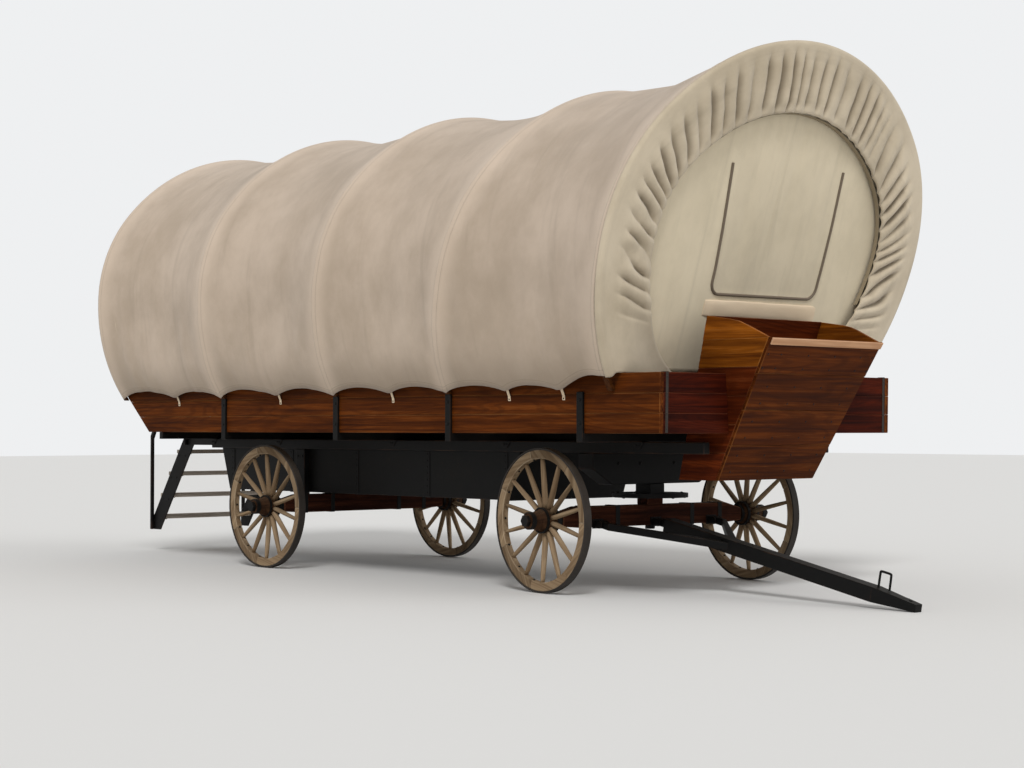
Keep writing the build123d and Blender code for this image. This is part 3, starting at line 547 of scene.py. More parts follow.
box_floor = Work()
floor_half = box_half(box_foot) - box_inset
outline = from_axle(
    (front_foot, box_foot),
    (-1.0995, box_foot + box_side),
    (-0.7864, box_foot + box_side),
    (back_foot - back_plank, box_foot),
)
for plank in planks(outline, "x", -uncut, uncut, "x", even(-floor_half, floor_half, 4)):
    box_floor.add(plank, "y")
box_floor.fit("box_floor_planks", [box_timber], "root", "box_wood", ["front_box_floor"])

# Chassis under the deck: two rails of box steel under five cross sills, a front bolster cut up at
# its ends, and a post each side over the rear axle. All welded, and painted black.
rear_axle = 3.44
rail_z = 0.98
rail_in, rail_out = 0.6, 0.66
plate_out = rail_out + 0.006
sill_places = (*stake_places, 4.75)
rails = Work()
sills = Work()
for hand in (1, -1):
    rails.add(bar(sided(hand, rail_in, rail_out), (-1.13, 4.78), (rail_z, sill_z), 0.006), "y")
    for y in sill_places:
        gusset = from_axle((y - 0.06, 1.058), (y + 0.06, 1.058), (y + 0.02, 1.01), (y - 0.02, 1.01))
        rails.add(eased(pushed(gusset, "x", *sided(hand, rail_out, plate_out)), 0.001), "y")
        for off in (-0.012, 0.012):
            rails.add(dome((hand * plate_out, axle_y + y + off, 1.035), (hand, 0, 0), 0.008, 0.006))
for y in sill_places:
    sills.add(bar((-half_body, half_body), (y - 0.025, y + 0.025), (sill_z, floor_z)), "x")
rails.fit("rails_made", [paint], "root", "black_steel", ["frame_rails"])
sills.fit("sills_made", [paint], "root", "black_steel", ["cross_sills"])

bolster = Work()
bolster_z, bolster_half = 0.75, 0.075
ends = [(0.46, bolster_z), (rail_out, 0.865), (rail_out, rail_z)]
outline = [(-0.46, bolster_z), *ends, (-rail_out, rail_z), (-rail_out, 0.865)]
bolster.add(eased(pushed(outline, "y", axle_y - bolster_half, axle_y + bolster_half), 0.008, 2), "x")
for x in (-0.4, -0.18, 0.18, 0.4):
    for side in (-1, 1):
        bolster.add(dome((x, axle_y + side * bolster_half, 0.9), (0, side, 0), 0.013, 0.008))
bolster.fit("front_bolster_made", [paint], "root", "black_steel", ["front_bolster"])

beam_top = 0.598
posts = Work()
for hand in (1, -1):
    deep = (rear_axle - 0.06, rear_axle + 0.06)
    posts.add(bar(sided(hand, rail_in, rail_out), deep, (beam_top, rail_z), 0.006), "z")
    for z in (0.66, 0.92):
        for y in (rear_axle - 0.03, rear_axle + 0.03):
            posts.add(dome((hand * rail_out, axle_y + y, z), (hand, 0, 0), 0.01, 0.006))
posts.fit("rear_posts_made", [paint], "root", "black_steel", ["rear_bolster"])

# Belly: a closed box of black sheet between the rails, sloped up at both ends, its sheets lapped
# and riveted to flat straps.
belly_z = 0.616
belly = Work()
ends = ((0.75, sill_z), (0.75, rail_z), (0.87, belly_z), (4.58, belly_z), (4.7, rail_z), (4.7, sill_z))
belly.add(eased(pushed(from_axle(*ends), "x", -rail_in, rail_in), 0.006, 2), "y")
for y in (0.92, 1.83, 2.74, 3.65, 4.53):
    wide = (y - 0.03, y + 0.03)
    for hand in (1, -1):
        belly.add(bar(sided(hand, 0.599, 0.604), wide, (0.622, 0.972), 0.001), "z")
        for rivet in range(7):
            belly.add(dome((hand * 0.604, axle_y + y, 0.65 + 0.05 * rivet), (hand, 0, 0), 0.007, 0.004))
    belly.add(bar((-0.59, 0.59), wide, (0.611, 0.617), 0.001), "x")
belly.fit("belly_made", [paint], "root", "black_steel", ["belly_box"])

# Wheels: turned hub, fourteen shaved spokes, seven felloes and a shrunk-on steel tyre. The spokes
# lean out from the hub, which dishes the wheel.
aged = {"polish": 0.55, "dusty": 0.3}
hub_looks = {"polish": 0.45, "rubbed": 0.5}
wheel_timber = timber("wheel_timber", (0.14, 0.09, 0.05), (0.36, 0.26, 0.16), (0.47, 0.38, 0.27), **aged)
hub_timber = timber("hub_timber", (0.02, 0.009, 0.005), (0.085, 0.04, 0.018), (0.17, 0.1, 0.055), **hub_looks)
tyre_steel = black_paint("tyre_steel", (0.04, 0.033, 0.028), 0.8, 0.3)
wheel_r = 0.508
felloe_in, felloe_out, felloe_half = 0.434, 0.4955, 0.026
hub_x, hub_bore, arm_r = -0.03, 0.0303, 0.03
spokes, felloes = 14, 7
spoke_foot, spoke_length = 0.088, 0.348
felloe_arc = 2 * pi / felloes


def ringed(outline, steps):
    """A turned ring about X: an outline of (x, radius) spun all the way round."""
    shape = bmesh.new()
    corners = [shape.verts.new((x, 0, r)) for x, r in outline]
    rim = [shape.edges.new(pair) for pair in zip(corners, corners[1:] + corners[:1])]
    middle = {"cent": (0, 0, 0), "axis": (1, 0, 0)}
    bmesh.ops.spin(shape, geom=corners + rim, angle=2 * pi, steps=steps, use_merge=True, **middle)
    bmesh.ops.remove_doubles(shape, verts=shape.verts, dist=1e-6)
    bmesh.ops.recalc_face_normals(shape, faces=shape.faces)
    return shape


wheel = Work()
for count in range(spokes):
    spoke = bmesh.new()
    bmesh.ops.create_cone(spoke, cap_ends=True, segments=12, radius1=1, radius2=1, depth=1)
    sides = [e for e in spoke.edges if abs(e.verts[0].co.z - e.verts[1].co.z) > 0.5]
    bmesh.ops.subdivide_edges(spoke, edges=sides, cuts=9, use_grid_fill=True)
    for vert in spoke.verts:
        up = vert.co.z + 0.5
        swell = 1 + 0.1 * sin(pi * up) - 0.12 * exp(-((up - 0.97) / 0.05) ** 2)
        square = 1 + 0.16 * exp(-up / 0.08)
        vert.co.x = vert.co.x * (0.024 - 0.007 * up) * swell * square + hub_x * (1 - up)
        vert.co.y = vert.co.y * (0.0165 - 0.0035 * up) * swell * square
        vert.co.z = spoke_foot + spoke_length * up
    wheel.add(spoke, "z", smooth=True, place=Matrix.Rotation(pi + 2 * pi * count / spokes, 4, "X"))
for count in range(felloes):
    felloe = bmesh.new()
    square = [(-1, felloe_in), (1, felloe_in), (1, felloe_out), (-1, felloe_out)]
    corners = [felloe.verts.new((felloe_half * side, 0, r)) for side, r in square]
    face = felloe.faces.new(corners)
    bmesh.ops.spin(
        felloe,
        geom=corners + list(face.edges) + [face],
        cent=(0, 0, 0),
        axis=(1, 0, 0),
        angle=felloe_arc - 0.0035,
        steps=12,
        use_merge=False,
    )
    bmesh.ops.recalc_face_normals(felloe, faces=felloe.faces)
    long = [e for e in felloe.edges if abs(e.calc_face_angle(0)) > 0.6]
    turn = Matrix.Rotation(pi / spokes + 2 * pi * count / felloes, 4, "X")
    wheel.add(eased(felloe, 0.005, 2, long), "y", place=turn)
hub_outline = [
    (-0.13, hub_bore),
    (-0.13, 0.058),
    (-0.102, 0.064),
    (-0.092, 0.071),
    (-0.075, 0.0875),
    (-0.068, 0.09),
    (0.006, 0.09),
    (0.012, 0.0865),
    (0.016, 0.08),
    (0.05, 0.067),
    (0.056, 0.0685),
    (0.062, 0.0655),
    (0.096, 0.0565),
    (0.127, 0.0565),
    (0.13, 0.054),
    (0.13, hub_bore),
]
wheel.add(ringed(hub_outline, 40), "x", finish=1)
for start, stop, low, high in (
    (-0.128, -0.104, 0.06, 0.0655),
    (-0.09, -0.066, 0.084, 0.0915),
    (0.004, 0.022, 0.083, 0.0915),
    (0.096, 0.13, 0.055, 0.062),
):
    hub_band = ringed([(start, low), (stop, low), (stop, high), (start, high)], 40)
    wheel.add(hub_band, "x", finish=2)
for count in range(spokes):
    turn = Matrix.Rotation(pi / spokes + 2 * pi * count / spokes, 4, "X")
    wheel.add(dome((0, 0, felloe_in), (0, 0, -1), 0.009, 0.008), finish=2, place=turn)
wheel_mesh = wheel.mesh("wheel", [wheel_timber, hub_timber, paint])

tyre = Work()
tread = [(0.03, wheel_r - 0.0015), (0.0285, wheel_r), (-0.0285, wheel_r), (-0.03, wheel_r - 0.0015)]
tyre.add(ringed([(-0.03, 0.496), (0.03, 0.496), *tread], 96), "x")
tyre_mesh = tyre.mesh("tyre", [tyre_steel])

gear = Matrix.Translation((0, axle_y, 0)) @ Matrix.Rotation(radians(-5), 4, "Z")
rear_gear = Matrix.Translation((0, axle_y + rear_axle, 0))
for name, carrier, hand in (
    ("front_left", gear, 1),
    ("front_right", gear, -1),
    ("rear_left", rear_gear, 1),
    ("rear_right", rear_gear, -1),
):
    place = carrier @ Matrix.Translation((hand, 0, wheel_r))
    if hand < 0:
        place = place @ Matrix.Rotation(pi, 4, "Z")
    for drawn, part, slot in ((wheel_mesh, "wheel", "wheel_wood"), (tyre_mesh, "tyre", "tyre_steel")):
        mesh = drawn.copy()
        mesh.transform(place)
        settle(mesh, f"{name}_{part}_made", name, [f"{name}_{part}"])

# Axles: an oak beam cut down at its ends, with steel arms, collars and nuts. The front one has a
# block under the turntable.
axle_timber = timber("axle_timber", (0.018, 0.005, 0.003), (0.085, 0.025, 0.012), (0.17, 0.075, 0.04), 0.55)
beam_half = 0.06


def sleeve(start, stop, inner, outer, steps):
    """A plain turned collar, or a pin where its bore is next to nothing."""
    return ringed([(start, inner), (start, outer), (stop, outer), (stop, inner)], steps)


def hexagon(radius, depth):
    """A six-sided nut, lying flat."""
    shape = bmesh.new()
    bmesh.ops.create_cone(shape, cap_ends=True, segments=6, radius1=radius, radius2=radius, depth=depth)
    return shape


for name, carrier, node, body in (
    ("front_beam", gear, "front_axle", "front_gear"),
    ("rear_beam", rear_gear, "rear_axle", "root"),
):
    beam = Work()
    outline = [(0.705, 0.448), (0.86, 0.46), (0.86, 0.556), (0.705, beam_top)]
    outline += [(-x, z) for x, z in reversed(outline)]
    beam.add(eased(pushed(outline, "y", -beam_half, beam_half), 0.008, 2), "x", place=carrier)
    if node == "front_axle":
        square = [(-0.075, -beam_half), (0.075, -beam_half), (0.075, beam_half), (-0.075, beam_half)]
        beam.add(eased(pushed(square, "z", beam_top, 0.65), 0.004), "x", place=carrier)
    for hand in (1, -1):
        outward = Matrix.Rotation(pi, 4, "Z") if hand < 0 else Matrix()
        mirrored = carrier @ Matrix.Translation((0, 0, wheel_r)) @ outward
        collar = [(0.86, 0.002), (0.86, 0.052), (0.865, 0.052)]
        arm = ringed([*collar, (0.866, arm_r), (1.135, arm_r), (1.135, 0.002)], 32)
        beam.add(arm, "x", finish=1, place=mirrored)
        nut = hexagon(0.044, 0.028)
        nut.transform(Matrix.Translation((1.149, 0, 0)) @ Matrix.Rotation(pi / 2, 4, "Y"))
        beam.add(eased(nut, 0.003, 2), "x", finish=1, place=mirrored)
        for x in (0.64, 0.36):
            hoop = [(-0.064, 0.444), (0.064, 0.444), (0.064, 0.602), (-0.064, 0.602)]
            clamp = pushed(hoop, "x", hand * x - 0.02, hand * x + 0.02)
            beam.add(eased(clamp, 0.002), "x", finish=1, place=carrier)
    beam.fit(name, [axle_timber, paint], body, "axle_wood", [node])

# Turntable: two flat steel circles, each with a cross bar, one on the front axle and one under the
# bolster. The king pin and its nut hold them together.
upright = Matrix.Rotation(-pi / 2, 4, "Y")
over_axle = Matrix.Translation((0, axle_y, 0))
circle_in, circle_out, circle_thick = 0.225, 0.28, 0.016
circle_mid = (circle_in + circle_out) / 2
lower_z, upper_z = 0.65, 0.6663
bar_half = 0.0375


def circle_plate(low):
    """One of the two circles, its edges eased, lying at a height."""
    ease = 0.001
    rim = [
        (ease, circle_in),
        (circle_thick - ease, circle_in),
        (circle_thick, circle_in + ease),
        (circle_thick, circle_out - ease),
        (circle_thick - ease, circle_out),
        (ease, circle_out),
        (0, circle_out - ease),
        (0, circle_in + ease),
    ]
    return ringed([(low + z, r) for z, r in rim], 64)


upper = Work()
upper.add(circle_plate(upper_z), "x", place=over_axle @ upright)
for hand in (1, -1):
    upper.add(bar(sided(hand, 0.07, 0.235), (-bar_half, bar_half), (0.6665, 0.6821), 0.001), "x")
upper.add(bar((-0.075, 0.075), (-0.075, 0.075), (upper_z, bolster_z)), "x")
upper.add(sleeve(0.443, 0.668, 0.001, 0.022, 32), "x", place=over_axle @ upright)
upper.add(eased(hexagon(0.038, 0.024), 0.003, 2), "x", place=Matrix.Translation((0, axle_y, 0.431)))
for bolt in range(8):
    angle = pi / 8 + bolt * pi / 4
    spot = (circle_mid * cos(angle), axle_y + circle_mid * sin(angle), 0.6823)
    upper.add(dome(spot, (0, 0, 1), 0.012, 0.006))
upper.fit("upper_circle", [paint], "root", "black_steel", ["upper_turntable"])

lower = Work()
lower.add(circle_plate(lower_z), "x", place=gear @ upright)
lower.add(sleeve(lower_z, lower_z + circle_thick, 0.0222, 0.075, 40), "x", place=gear @ upright)
for hand in (1, -1):
    low, high = sided(hand, 0.065, 0.235)
    half = [(low, -bar_half), (high, -bar_half), (high, bar_half), (low, bar_half)]
    lower.add(eased(pushed(half, "z", 0.6502, 0.6658), 0.001), "x", place=gear)
for bolt in range(8):
    angle = bolt * pi / 4
    spot = (circle_mid * cos(angle), circle_mid * sin(angle), lower_z)
    lower.add(dome(spot, (0, 0, -1), 0.012, 0.006), place=gear)
lower.fit("lower_circle", [paint], "front_gear", "black_steel", ["lower_turntable"])

# Tongue: a tapered steel pole with two hounds back to the axle, an upright loop for the tow chain
# and a hitch hole. It turns on pins through the ears of three brackets, and rests on its tip.
pin_y, pin_z = -0.12, 0.47
ear_r = 0.028
brackets = Work()
nose = [(pin_y + ear_r * cos(radians(a)), pin_z + ear_r * sin(radians(a))) for a in range(-60, -271, -15)]
for spot in (-0.55, 0, 0.55):
    for x in (spot - 0.038, spot + 0.026):
        ear = pushed([(-0.06, 0.45), *nose, (-0.06, 0.498)], "x", x, x + 0.012)
        brackets.add(eased(ear, 0.0015), "y", place=gear)
    foot = [(-0.066, 0.44), (-0.06, 0.44), (-0.06, 0.508), (-0.066, 0.508)]
    brackets.add(eased(pushed(foot, "x", spot - 0.05, spot + 0.05), 0.001), "x", place=gear)
    head = [(-0.044, 0.001), (-0.044, 0.019), (-0.038, 0.019), (-0.038, 0.012)]
    pin = ringed([*head, (0.044, 0.012), (0.044, 0.001)], 20)
    brackets.add(pin, "x", place=gear @ Matrix.Translation((spot, pin_y, pin_z)))
brackets.fit("tongue_ears", [paint], "front_gear", "black_steel", ["tongue_brackets"])

slope = gear @ Matrix.Translation((0, pin_y, pin_z)) @ Matrix.Rotation(radians(10.389), 4, "X")
eye_ring = [(-0.02, 0.0121), (0.02, 0.0121), (0.02, 0.026), (0.018, ear_r), (-0.018, ear_r), (-0.02, 0.026)]
hounds = Work()
for hand in (1, -1):
    corners = [(0.53, -0.02), (0.57, -0.02), (0.57, -0.084), (0.05, -0.77), (0.05, -0.67), (0.53, -0.084)]
    side = pushed([(hand * x, y) for x, y in corners], "z", -0.025, 0.025)
    hounds.add(eased(side, 0.003, 2), "y", place=slope)
    hounds.add(ringed(eye_ring, 32), "x", place=slope @ Matrix.Translation((hand * 0.55, 0, 0)))
    for y in (-0.7, -0.74):
        hounds.add(dome((hand * 0.063, y, 0.025), (0, 0, 1), 0.008, 0.006), place=slope)
hounds.fit("hounds_made", [paint], "tongue", "black_steel", ["tongue_hounds"])


def lofted(rows):
    """A closed solid skinned over rows of corners, with its ends capped."""
    shape = bmesh.new()
    rings = [[shape.verts.new(spot) for spot in row] for row in rows]
    for first, second in zip(rings, rings[1:]):
        for i in range(len(first)):
            shape.faces.new((first[i - 1], first[i], second[i], second[i - 1]))
    shape.faces.new(rings[0])
    shape.faces.new(rings[-1])
    bmesh.ops.recalc_face_normals(shape, faces=shape.faces)
    return shape


def beamed(sections):
    """A tapered squared bar through (y, half width, half height) sections."""
    return lofted([[(-w, y, -t), (w, y, -t), (w, y, t), (-w, y, t)] for y, w, t in sections])


def tube(points, radius, sides=2):
    """Round bar or piping along a smooth line."""
    line = bpy.data.curves.new("line", "CURVE")
    line.dimensions = "3D"
    line.bevel_depth = radius
    line.bevel_resolution = sides
    line.use_fill_caps = True
    spline = line.splines.new("NURBS")
    spline.points.add(len(points) - 1)
    for spot, point in zip(spline.points, points):
        spot.co = (*point, 1)
    spline.order_u = 3
    spline.use_endpoint_u = True
    spline.resolution_u = 4
    holder = bpy.data.objects.new("line", line)
    made = bpy.data.meshes.new_from_object(holder)
    shape = bmesh.new()
    shape.from_mesh(made)
    bpy.data.objects.remove(holder)
    bpy.data.curves.remove(line)
    bpy.data.meshes.remove(made)
    return shape


pole = Work()
shaft = beamed([(-0.084, 0.05, 0.05), (-2.11, 0.05, 0.05), (-2.35, 0.0367, 0.0333)])
pole.add(eased(shaft, 0.005, 2), "y", place=slope)
pole.add(eased(beamed([(-0.02, 0.02, 0.025), (-0.09, 0.02, 0.025)]), 0.002), "y", place=slope)
pole.add(ringed(eye_ring, 32), "x", place=slope)

# The tip is flat and narrows to its end: rings of corners round the plate and round its hole, top and bottom.
tip_y, tip_half, tip_taper = -2.47, 0.06, 0.36
hitch_y, hitch_r = -2.4, 0.013
around = 16
tip = bmesh.new()
rims = []
for tall in (1, -1):
    plate, hole = [], []
    for step in range(around):
        angle = pi / 4 + step * 2 * pi / around
        u, v = cos(angle), sin(angle)
        size = max(abs(u), abs(v))
        y = tip_y + tip_half + tip_half * v / size
        wide = 0.03 + 0.02 * (y - tip_y) / tip_taper
        high = 0.025 + 0.025 * (y - tip_y) / tip_taper
        plate.append(tip.verts.new((wide * u / size, y, tall * high)))
        y = hitch_y + hitch_r * v
        high = 0.025 + 0.025 * (y - tip_y) / tip_taper
        hole.append(tip.verts.new((hitch_r * u, y, tall * high)))
    rims.append((plate, hole))
(top_plate, top_hole), (low_plate, low_hole) = rims
for i in range(around):
    for plate, hole in rims:
        tip.faces.new((plate[i - 1], plate[i], hole[i], hole[i - 1]))
    tip.faces.new((top_plate[i - 1], top_plate[i], low_plate[i], low_plate[i - 1]))
    tip.faces.new((top_hole[i - 1], top_hole[i], low_hole[i], low_hole[i - 1]))
bmesh.ops.recalc_face_normals(tip, faces=tip.faces)
pole.add(tip, "y", place=slope)

staple = [(-2.217, 0.05), (-2.217, 0.15), (-2.212, 0.157), (-2.17, 0.157)]
staple += [(-2.128, 0.157), (-2.123, 0.15), (-2.123, 0.05)]
pole.add(tube([(0, y, z) for y, z in staple], 0.008, 3), "z", smooth=True, place=slope)
pole.fit("pole_made", [paint], "tongue", "black_steel", ["tongue_pole"])

# Bows: strips of ash bent over the wagon under the canvas, one at each end and three between, their
# feet at the side boards. They are stained dark, and only their finish is made here.
bow_ash = Finish("bow_ash", {"Specular IOR Level": 0.08})
grain = bow_ash.cloud(bow_ash.where("object", (30, 90, 30)), 5, 0.6)
tint = bow_ash.blend(grain.ramp(0.3, 0.7), (0.035, 0.01, 0.002), (0.085, 0.028, 0.006))
bow_ash.feed(bow_ash.shader, {"Base Color": tint, "Roughness": grain * 0.3 + 0.45})
bow_ash.relief(grain, 0.001)
for node in ("bows", "end_bows"):
    bow_finishes = bpy.data.objects[node].data.materials
    bow_finishes.clear()
    bow_finishes.append(bow_ash.material)

# Canopy: one long sheet of heavy canvas over the bows. It lies on each bow, sags between them and
# is strapped down below the top of the side boards, so its hem runs in scallops. The front bow
# stands higher and wider than the rest, and the cover eases back from it.
wide_z = 2.41
hem_z = 1.4
bow_gap = 1.66


class Arch:
    """Outline of the cover over a bow: crown, shoulders and flanks meet without a corner."""

    bend = 1.15
    foot = 1.24

    def __init__(self, half, wide, top):
        self.half, self.wide, self.top = half, wide, top
        self.shoulder = half - self.bend
        rise = top - wide
        self.crown = (self.shoulder**2 + rise**2 - self.bend**2) / (2 * (rise - self.bend))
        self.centre = top - self.crown
        self.turn = atan2(wide - self.centre, self.shoulder)
        self.flank = ((half - self.foot) ** 2 + (wide - hem_z) ** 2) / (2 * (half - self.foot))
        self.crown_way = self.crown * (pi / 2 - self.turn)
        self.flank_way = self.crown_way + self.bend * self.turn

    def point(self, way, inset=0.0):
        """Point across the cover, a way round from its ridge, and the direction straight out."""
        far = abs(way)
        if far < self.crown_way:
            centre, radius = (0, self.centre), self.crown
            turn = pi / 2 - far / self.crown
        elif far < self.flank_way:
            centre, radius = (self.shoulder, self.wide), self.bend
            turn = self.turn - (far - self.crown_way) / self.bend
        else:
            centre, radius = (self.half - self.flank, self.wide), self.flank
            turn = (self.flank_way - far) / self.flank
        hand = -1 if way < 0 else 1
        out = Vector((hand * cos(turn), 0, sin(turn)))
        return Vector((hand * centre[0], 0, centre[1])) + out * (radius - inset), out

    def down(self, z, inset=0.0):
        """Way round from the ridge down to a height on the flank."""
        return self.flank_way + self.flank * asin((self.wide - z) / (self.flank - inset))

    def half_width(self, z, inset):
        """Half the width inside the arch at a height."""
        if z > self.centre + (self.crown - inset) * sin(self.turn):
            return sqrt(max(1e-6, (self.crown - inset) ** 2 - (z - self.centre) ** 2))
        if z > self.wide:
            return self.shoulder + sqrt((self.bend - inset) ** 2 - (z - self.wide) ** 2)
        return self.half - self.flank + sqrt((self.flank - inset) ** 2 - (z - self.wide) ** 2)


ring = Arch(1.635, wide_z, 3.765)
hoop = Arch(1.55, 2.31, 3.65)


def front_edge(z, back=0.0):
    """The front end's leaning plane: where it is at a height, and back from it."""
    return axle_y - 1.175 + back - 0.323 * (z - wide_z)


def rear_edge(z, ahead=0.0):
    """The rear end's leaning plane: where it is at a height, and ahead of it."""
    return axle_y + 5.255 - ahead - 0.0846 * (z - wide_z)


def between(value, low, high):
    """Nought at low, one at high, smooth between."""
    part = min(1, max(0, (value - low) / (high - low)))
    return part * part * (3 - 2 * part)


def facing(cloth, way):
    """Turns a sheet so that most of it looks along way."""
    total = sum((face.normal * face.calc_area() for face in cloth.faces), Vector())
    if total.dot(Vector(way)) < 0:
        bmesh.ops.reverse_faces(cloth, faces=cloth.faces)


def canvas(name, shade, light, seams=False):
    """Heavy woven canvas: threads, slubs, water stains that run down, soil at the hem, painted shade in its
    folds, and on the cover a lighter band at each bow that is partly rubbed clean and partly painted
    highlight.
    """
    dull = {"Roughness": 0.88, "Sheen Weight": 0.25, "Sheen Roughness": 0.5, "Specular IOR Level": 0.2}
    finish = Finish(name, dull)
    cloth = finish.where("cloth")
    round_way, along = finish.part(cloth, 0), finish.part(cloth, 1)
    weave = (round_way * 520).ripple() * 0.5 + (along * 520).ripple() * 0.5
    across_slub = finish.cloud(finish.where("cloth", (40, 900, 1)), 2)
    along_slub = finish.cloud(finish.where("cloth", (900, 40, 1)), 2)
    slub = across_slub * 0.5 + along_slub * 0.5
    runs = finish.cloud(finish.where("cloth", (0.7, 9, 1)), 4, 0.6, 0.4)
    blotch = finish.cloud(finish.where("cloth", (1.1, 1.3, 1)), 5, 0.65)
    colour = finish.blend(blotch.ramp(0.3, 0.72), shade, light)
    colour = finish.blend(runs.ramp(0.52, 0.78) * 0.3, colour, tuple(0.72 * part for part in shade))
    thread = (weave * 0.5 + slub * 0.5).ramp(0.2, 0.8) * 0.12
    colour = finish.blend(thread, colour, tuple(0.6 * part for part in shade))
    hem = finish.number("hem")
    soil = hem.ramp(0.35, 0.0) * (blotch * 0.5 + 0.15)
    colour = finish.blend(soil, colour, (0.25, 0.19, 0.13))
    # Painted shade: darker wherever the sheet sets its fold attribute, in pleat grooves and in recesses.
    fold_shade = finish.number("fold")
    colour = finish.blend(fold_shade.ramp(0.1, 0.85) * 0.62, colour, (0.12, 0.088, 0.055))
    height = weave * 0.35 + slub * 0.5
    if seams:
        apart = finish.part(cloth, 2).nearest() * bow_gap
        line = apart.ramp(0.03, 0.0265) * apart.ramp(0.021, 0.0245)
        fold = apart.ramp(0.034, 0.032)
        # Lighter within a short way of each bow: the canvas is rubbed clean on the bow, and the band is also a
        # painted highlight along each ridge.
        rubbed = tuple(min(1.0, 1.22 * part) for part in light)
        colour = finish.blend(apart.ramp(0.2, 0.0) * 0.5, colour, rubbed)
        stitch = line * (round_way * 110).ripple().ramp(0.3, 0.5)
        from_tuck = hem - 0.045
        tuck = from_tuck.maths("ABSOLUTE", from_tuck).ramp(0.004, 0.001)
        colour = finish.blend(stitch * 0.45 + tuck * 0.35, colour, (0.2, 0.16, 0.11))
        height = height + fold * 1.6 - stitch * 1.2 + hem.ramp(0.047, 0.044) * 1.6
    finish.feed(finish.shader, {"Base Color": colour})
    finish.relief(height, 0.0009)
    return finish


cover_canvas = canvas("cover_canvas", (0.45, 0.355, 0.265), (0.6, 0.485, 0.38), seams=True)
cover_inset = 0.0065
span_step = 4 / 136


def bow_line(number, z):
    """Where the middle of a bow is, at a height: they all lean."""
    up = (z - hem_z) / 2.25
    return (
        front_edge(z, 0.0345),
        axle_y + stake_places[1] - 0.72 * up,
        axle_y + stake_places[2] - 0.4 * up,
        axle_y + stake_places[3] - 0.3 * up,
        rear_edge(z, 0.0345),
    )[number]


tie_places = (-0.82, -0.35, 0.2, 0.85, 1.5, 2.2, 2.95, 3.75, 4.45, 5.3)


def hem_height(y):
    """The hem dips at its straps and lifts between them, and rises to its front corner."""
    behind = min(tie_places[-1] - 0.01, max(tie_places[0] + 0.01, y - axle_y))
    last = max(place for place in tie_places if place <= behind)
    after = min(place for place in tie_places if place > behind)
    part = (behind - last) / (after - last)
    lift = sin(pi * part) ** 0.7 * (after - last) / 0.75
    return 1.404 + 0.062 * lift + 0.086 * between(behind, -0.35, -0.85)


def cover_point(share, y, hem, inset=0.0):
    """Point round the cover, share -1 at one hem and 1 at the other, its way round and out."""
    at_ring, at_hoop = share * ring.down(hem), share * hoop.down(hem)
    wide, straight = ring.point(at_ring, inset)
    eased_in = min(1.0, max(0.0, (y - front_edge(wide.z, 0.08)) / 1.56))
    narrow, upright = hoop.point(at_hoop, inset)
    out = straight.lerp(upright, eased_in).normalized()
    return wide.lerp(narrow, eased_in), out, at_ring + (at_hoop - at_ring) * eased_in


def sewn(cloth, name, finish, node, thickness):
    """Puts a sheet on the wagon, in place of a node: smooth, and as thick as its cloth."""
    for face in cloth.faces:
        face.smooth = True
    mesh = bpy.data.meshes.new(name)
    cloth.to_mesh(mesh)
    cloth.free()
    mesh.materials.append(finish.material)
    piece = settle(mesh, name, "root", [node])
    thick = piece.modifiers.new("cloth", "SOLIDIFY")
    thick.thickness = thickness
    thick.offset = -1
    return piece


canopy = bmesh.new()
bmesh.ops.create_grid(canopy, x_segments=138, y_segments=150, size=1)
cloth_layer = canopy.verts.layers.float_vector.new("cloth")
hem_layer = canopy.verts.layers.float.new("hem")
# The bows lean and the hem isn't straight, so each point is found again from the last, and settles.
rounds = 4
bow_strip = 0.0085
for vert in canopy.verts:
    span = vert.co.x * (2 + span_step) + 2
    start = min(3, max(0, int(span)))
    part = span - start
    hem, y = 1.44, axle_y
    for _ in range(rounds):
        point, out, way = cover_point(vert.co.y, y, hem)
        ahead, behind = bow_line(start, point.z), bow_line(start + 1, point.z)
        if part < 0:
            y = ahead + bow_strip * part / span_step
        elif part > 1:
            y = behind + bow_strip * (part - 1) / span_step
        else:
            y = ahead + (behind - ahead) * part
        hem = hem_height(y)
    inner = min(1, max(0, part))
    length = behind - ahead
    high = between(point.z, 1.5, 2.1)
    sag = 0.1 * (length / 1.68) ** 1.4 * sin(pi * inner) ** 0.85 * high
    near = min(inner, 1 - inner) * length
    pucker = noise.noise((way * 10, y * 1.3, 3.1)) * exp(-near / 0.22) * 0.006 * between(near, 0.0, 0.05)
    fold = noise.noise((way * 0.7, y * 7.5, 8.4)) * 0.014 * between(point.z, 2.5, 1.7)
    wave = noise.noise((way * 1.3, y * 1.9, 5.2)) * 0.014 * high * between(near, 0.0, 0.3)
    drop = max(sag - pucker - wave, 0.0) - max(fold, -0.001)
    point, out, way = cover_point(vert.co.y, y, hem, cover_inset + drop)
    vert[cloth_layer] = Vector((way, y, span))
    vert[hem_layer] = hoop.down(hem) * (1 - abs(vert.co.y))
    vert.co = Vector((point.x, y, point.z))
facing(canopy, (0, 0, 1))
cover = sewn(canopy, "canopy_canvas", cover_canvas, "canopy", 0.0035)

# Bonnets: the ends of the cover, gathered by a drawstring into a pleated ring with a round
# opening. The canvas rolls round the end bow, runs smooth for a hand's breadth and then pleats.
curtain_foot = 1.5235
bonnet_canvas = canvas("bonnet_canvas", (0.48, 0.4, 0.285), (0.64, 0.545, 0.405))
# The drawstring finish is dark: painted shade for the gap between the ring's inner edge and the curtain behind
# it.
drawstring_gap_shade = Finish("drawstring_gap_shade", {"Base Color": (0.29, 0.235, 0.155), "Roughness": 0.8, "Specular IOR Level": 0.2})


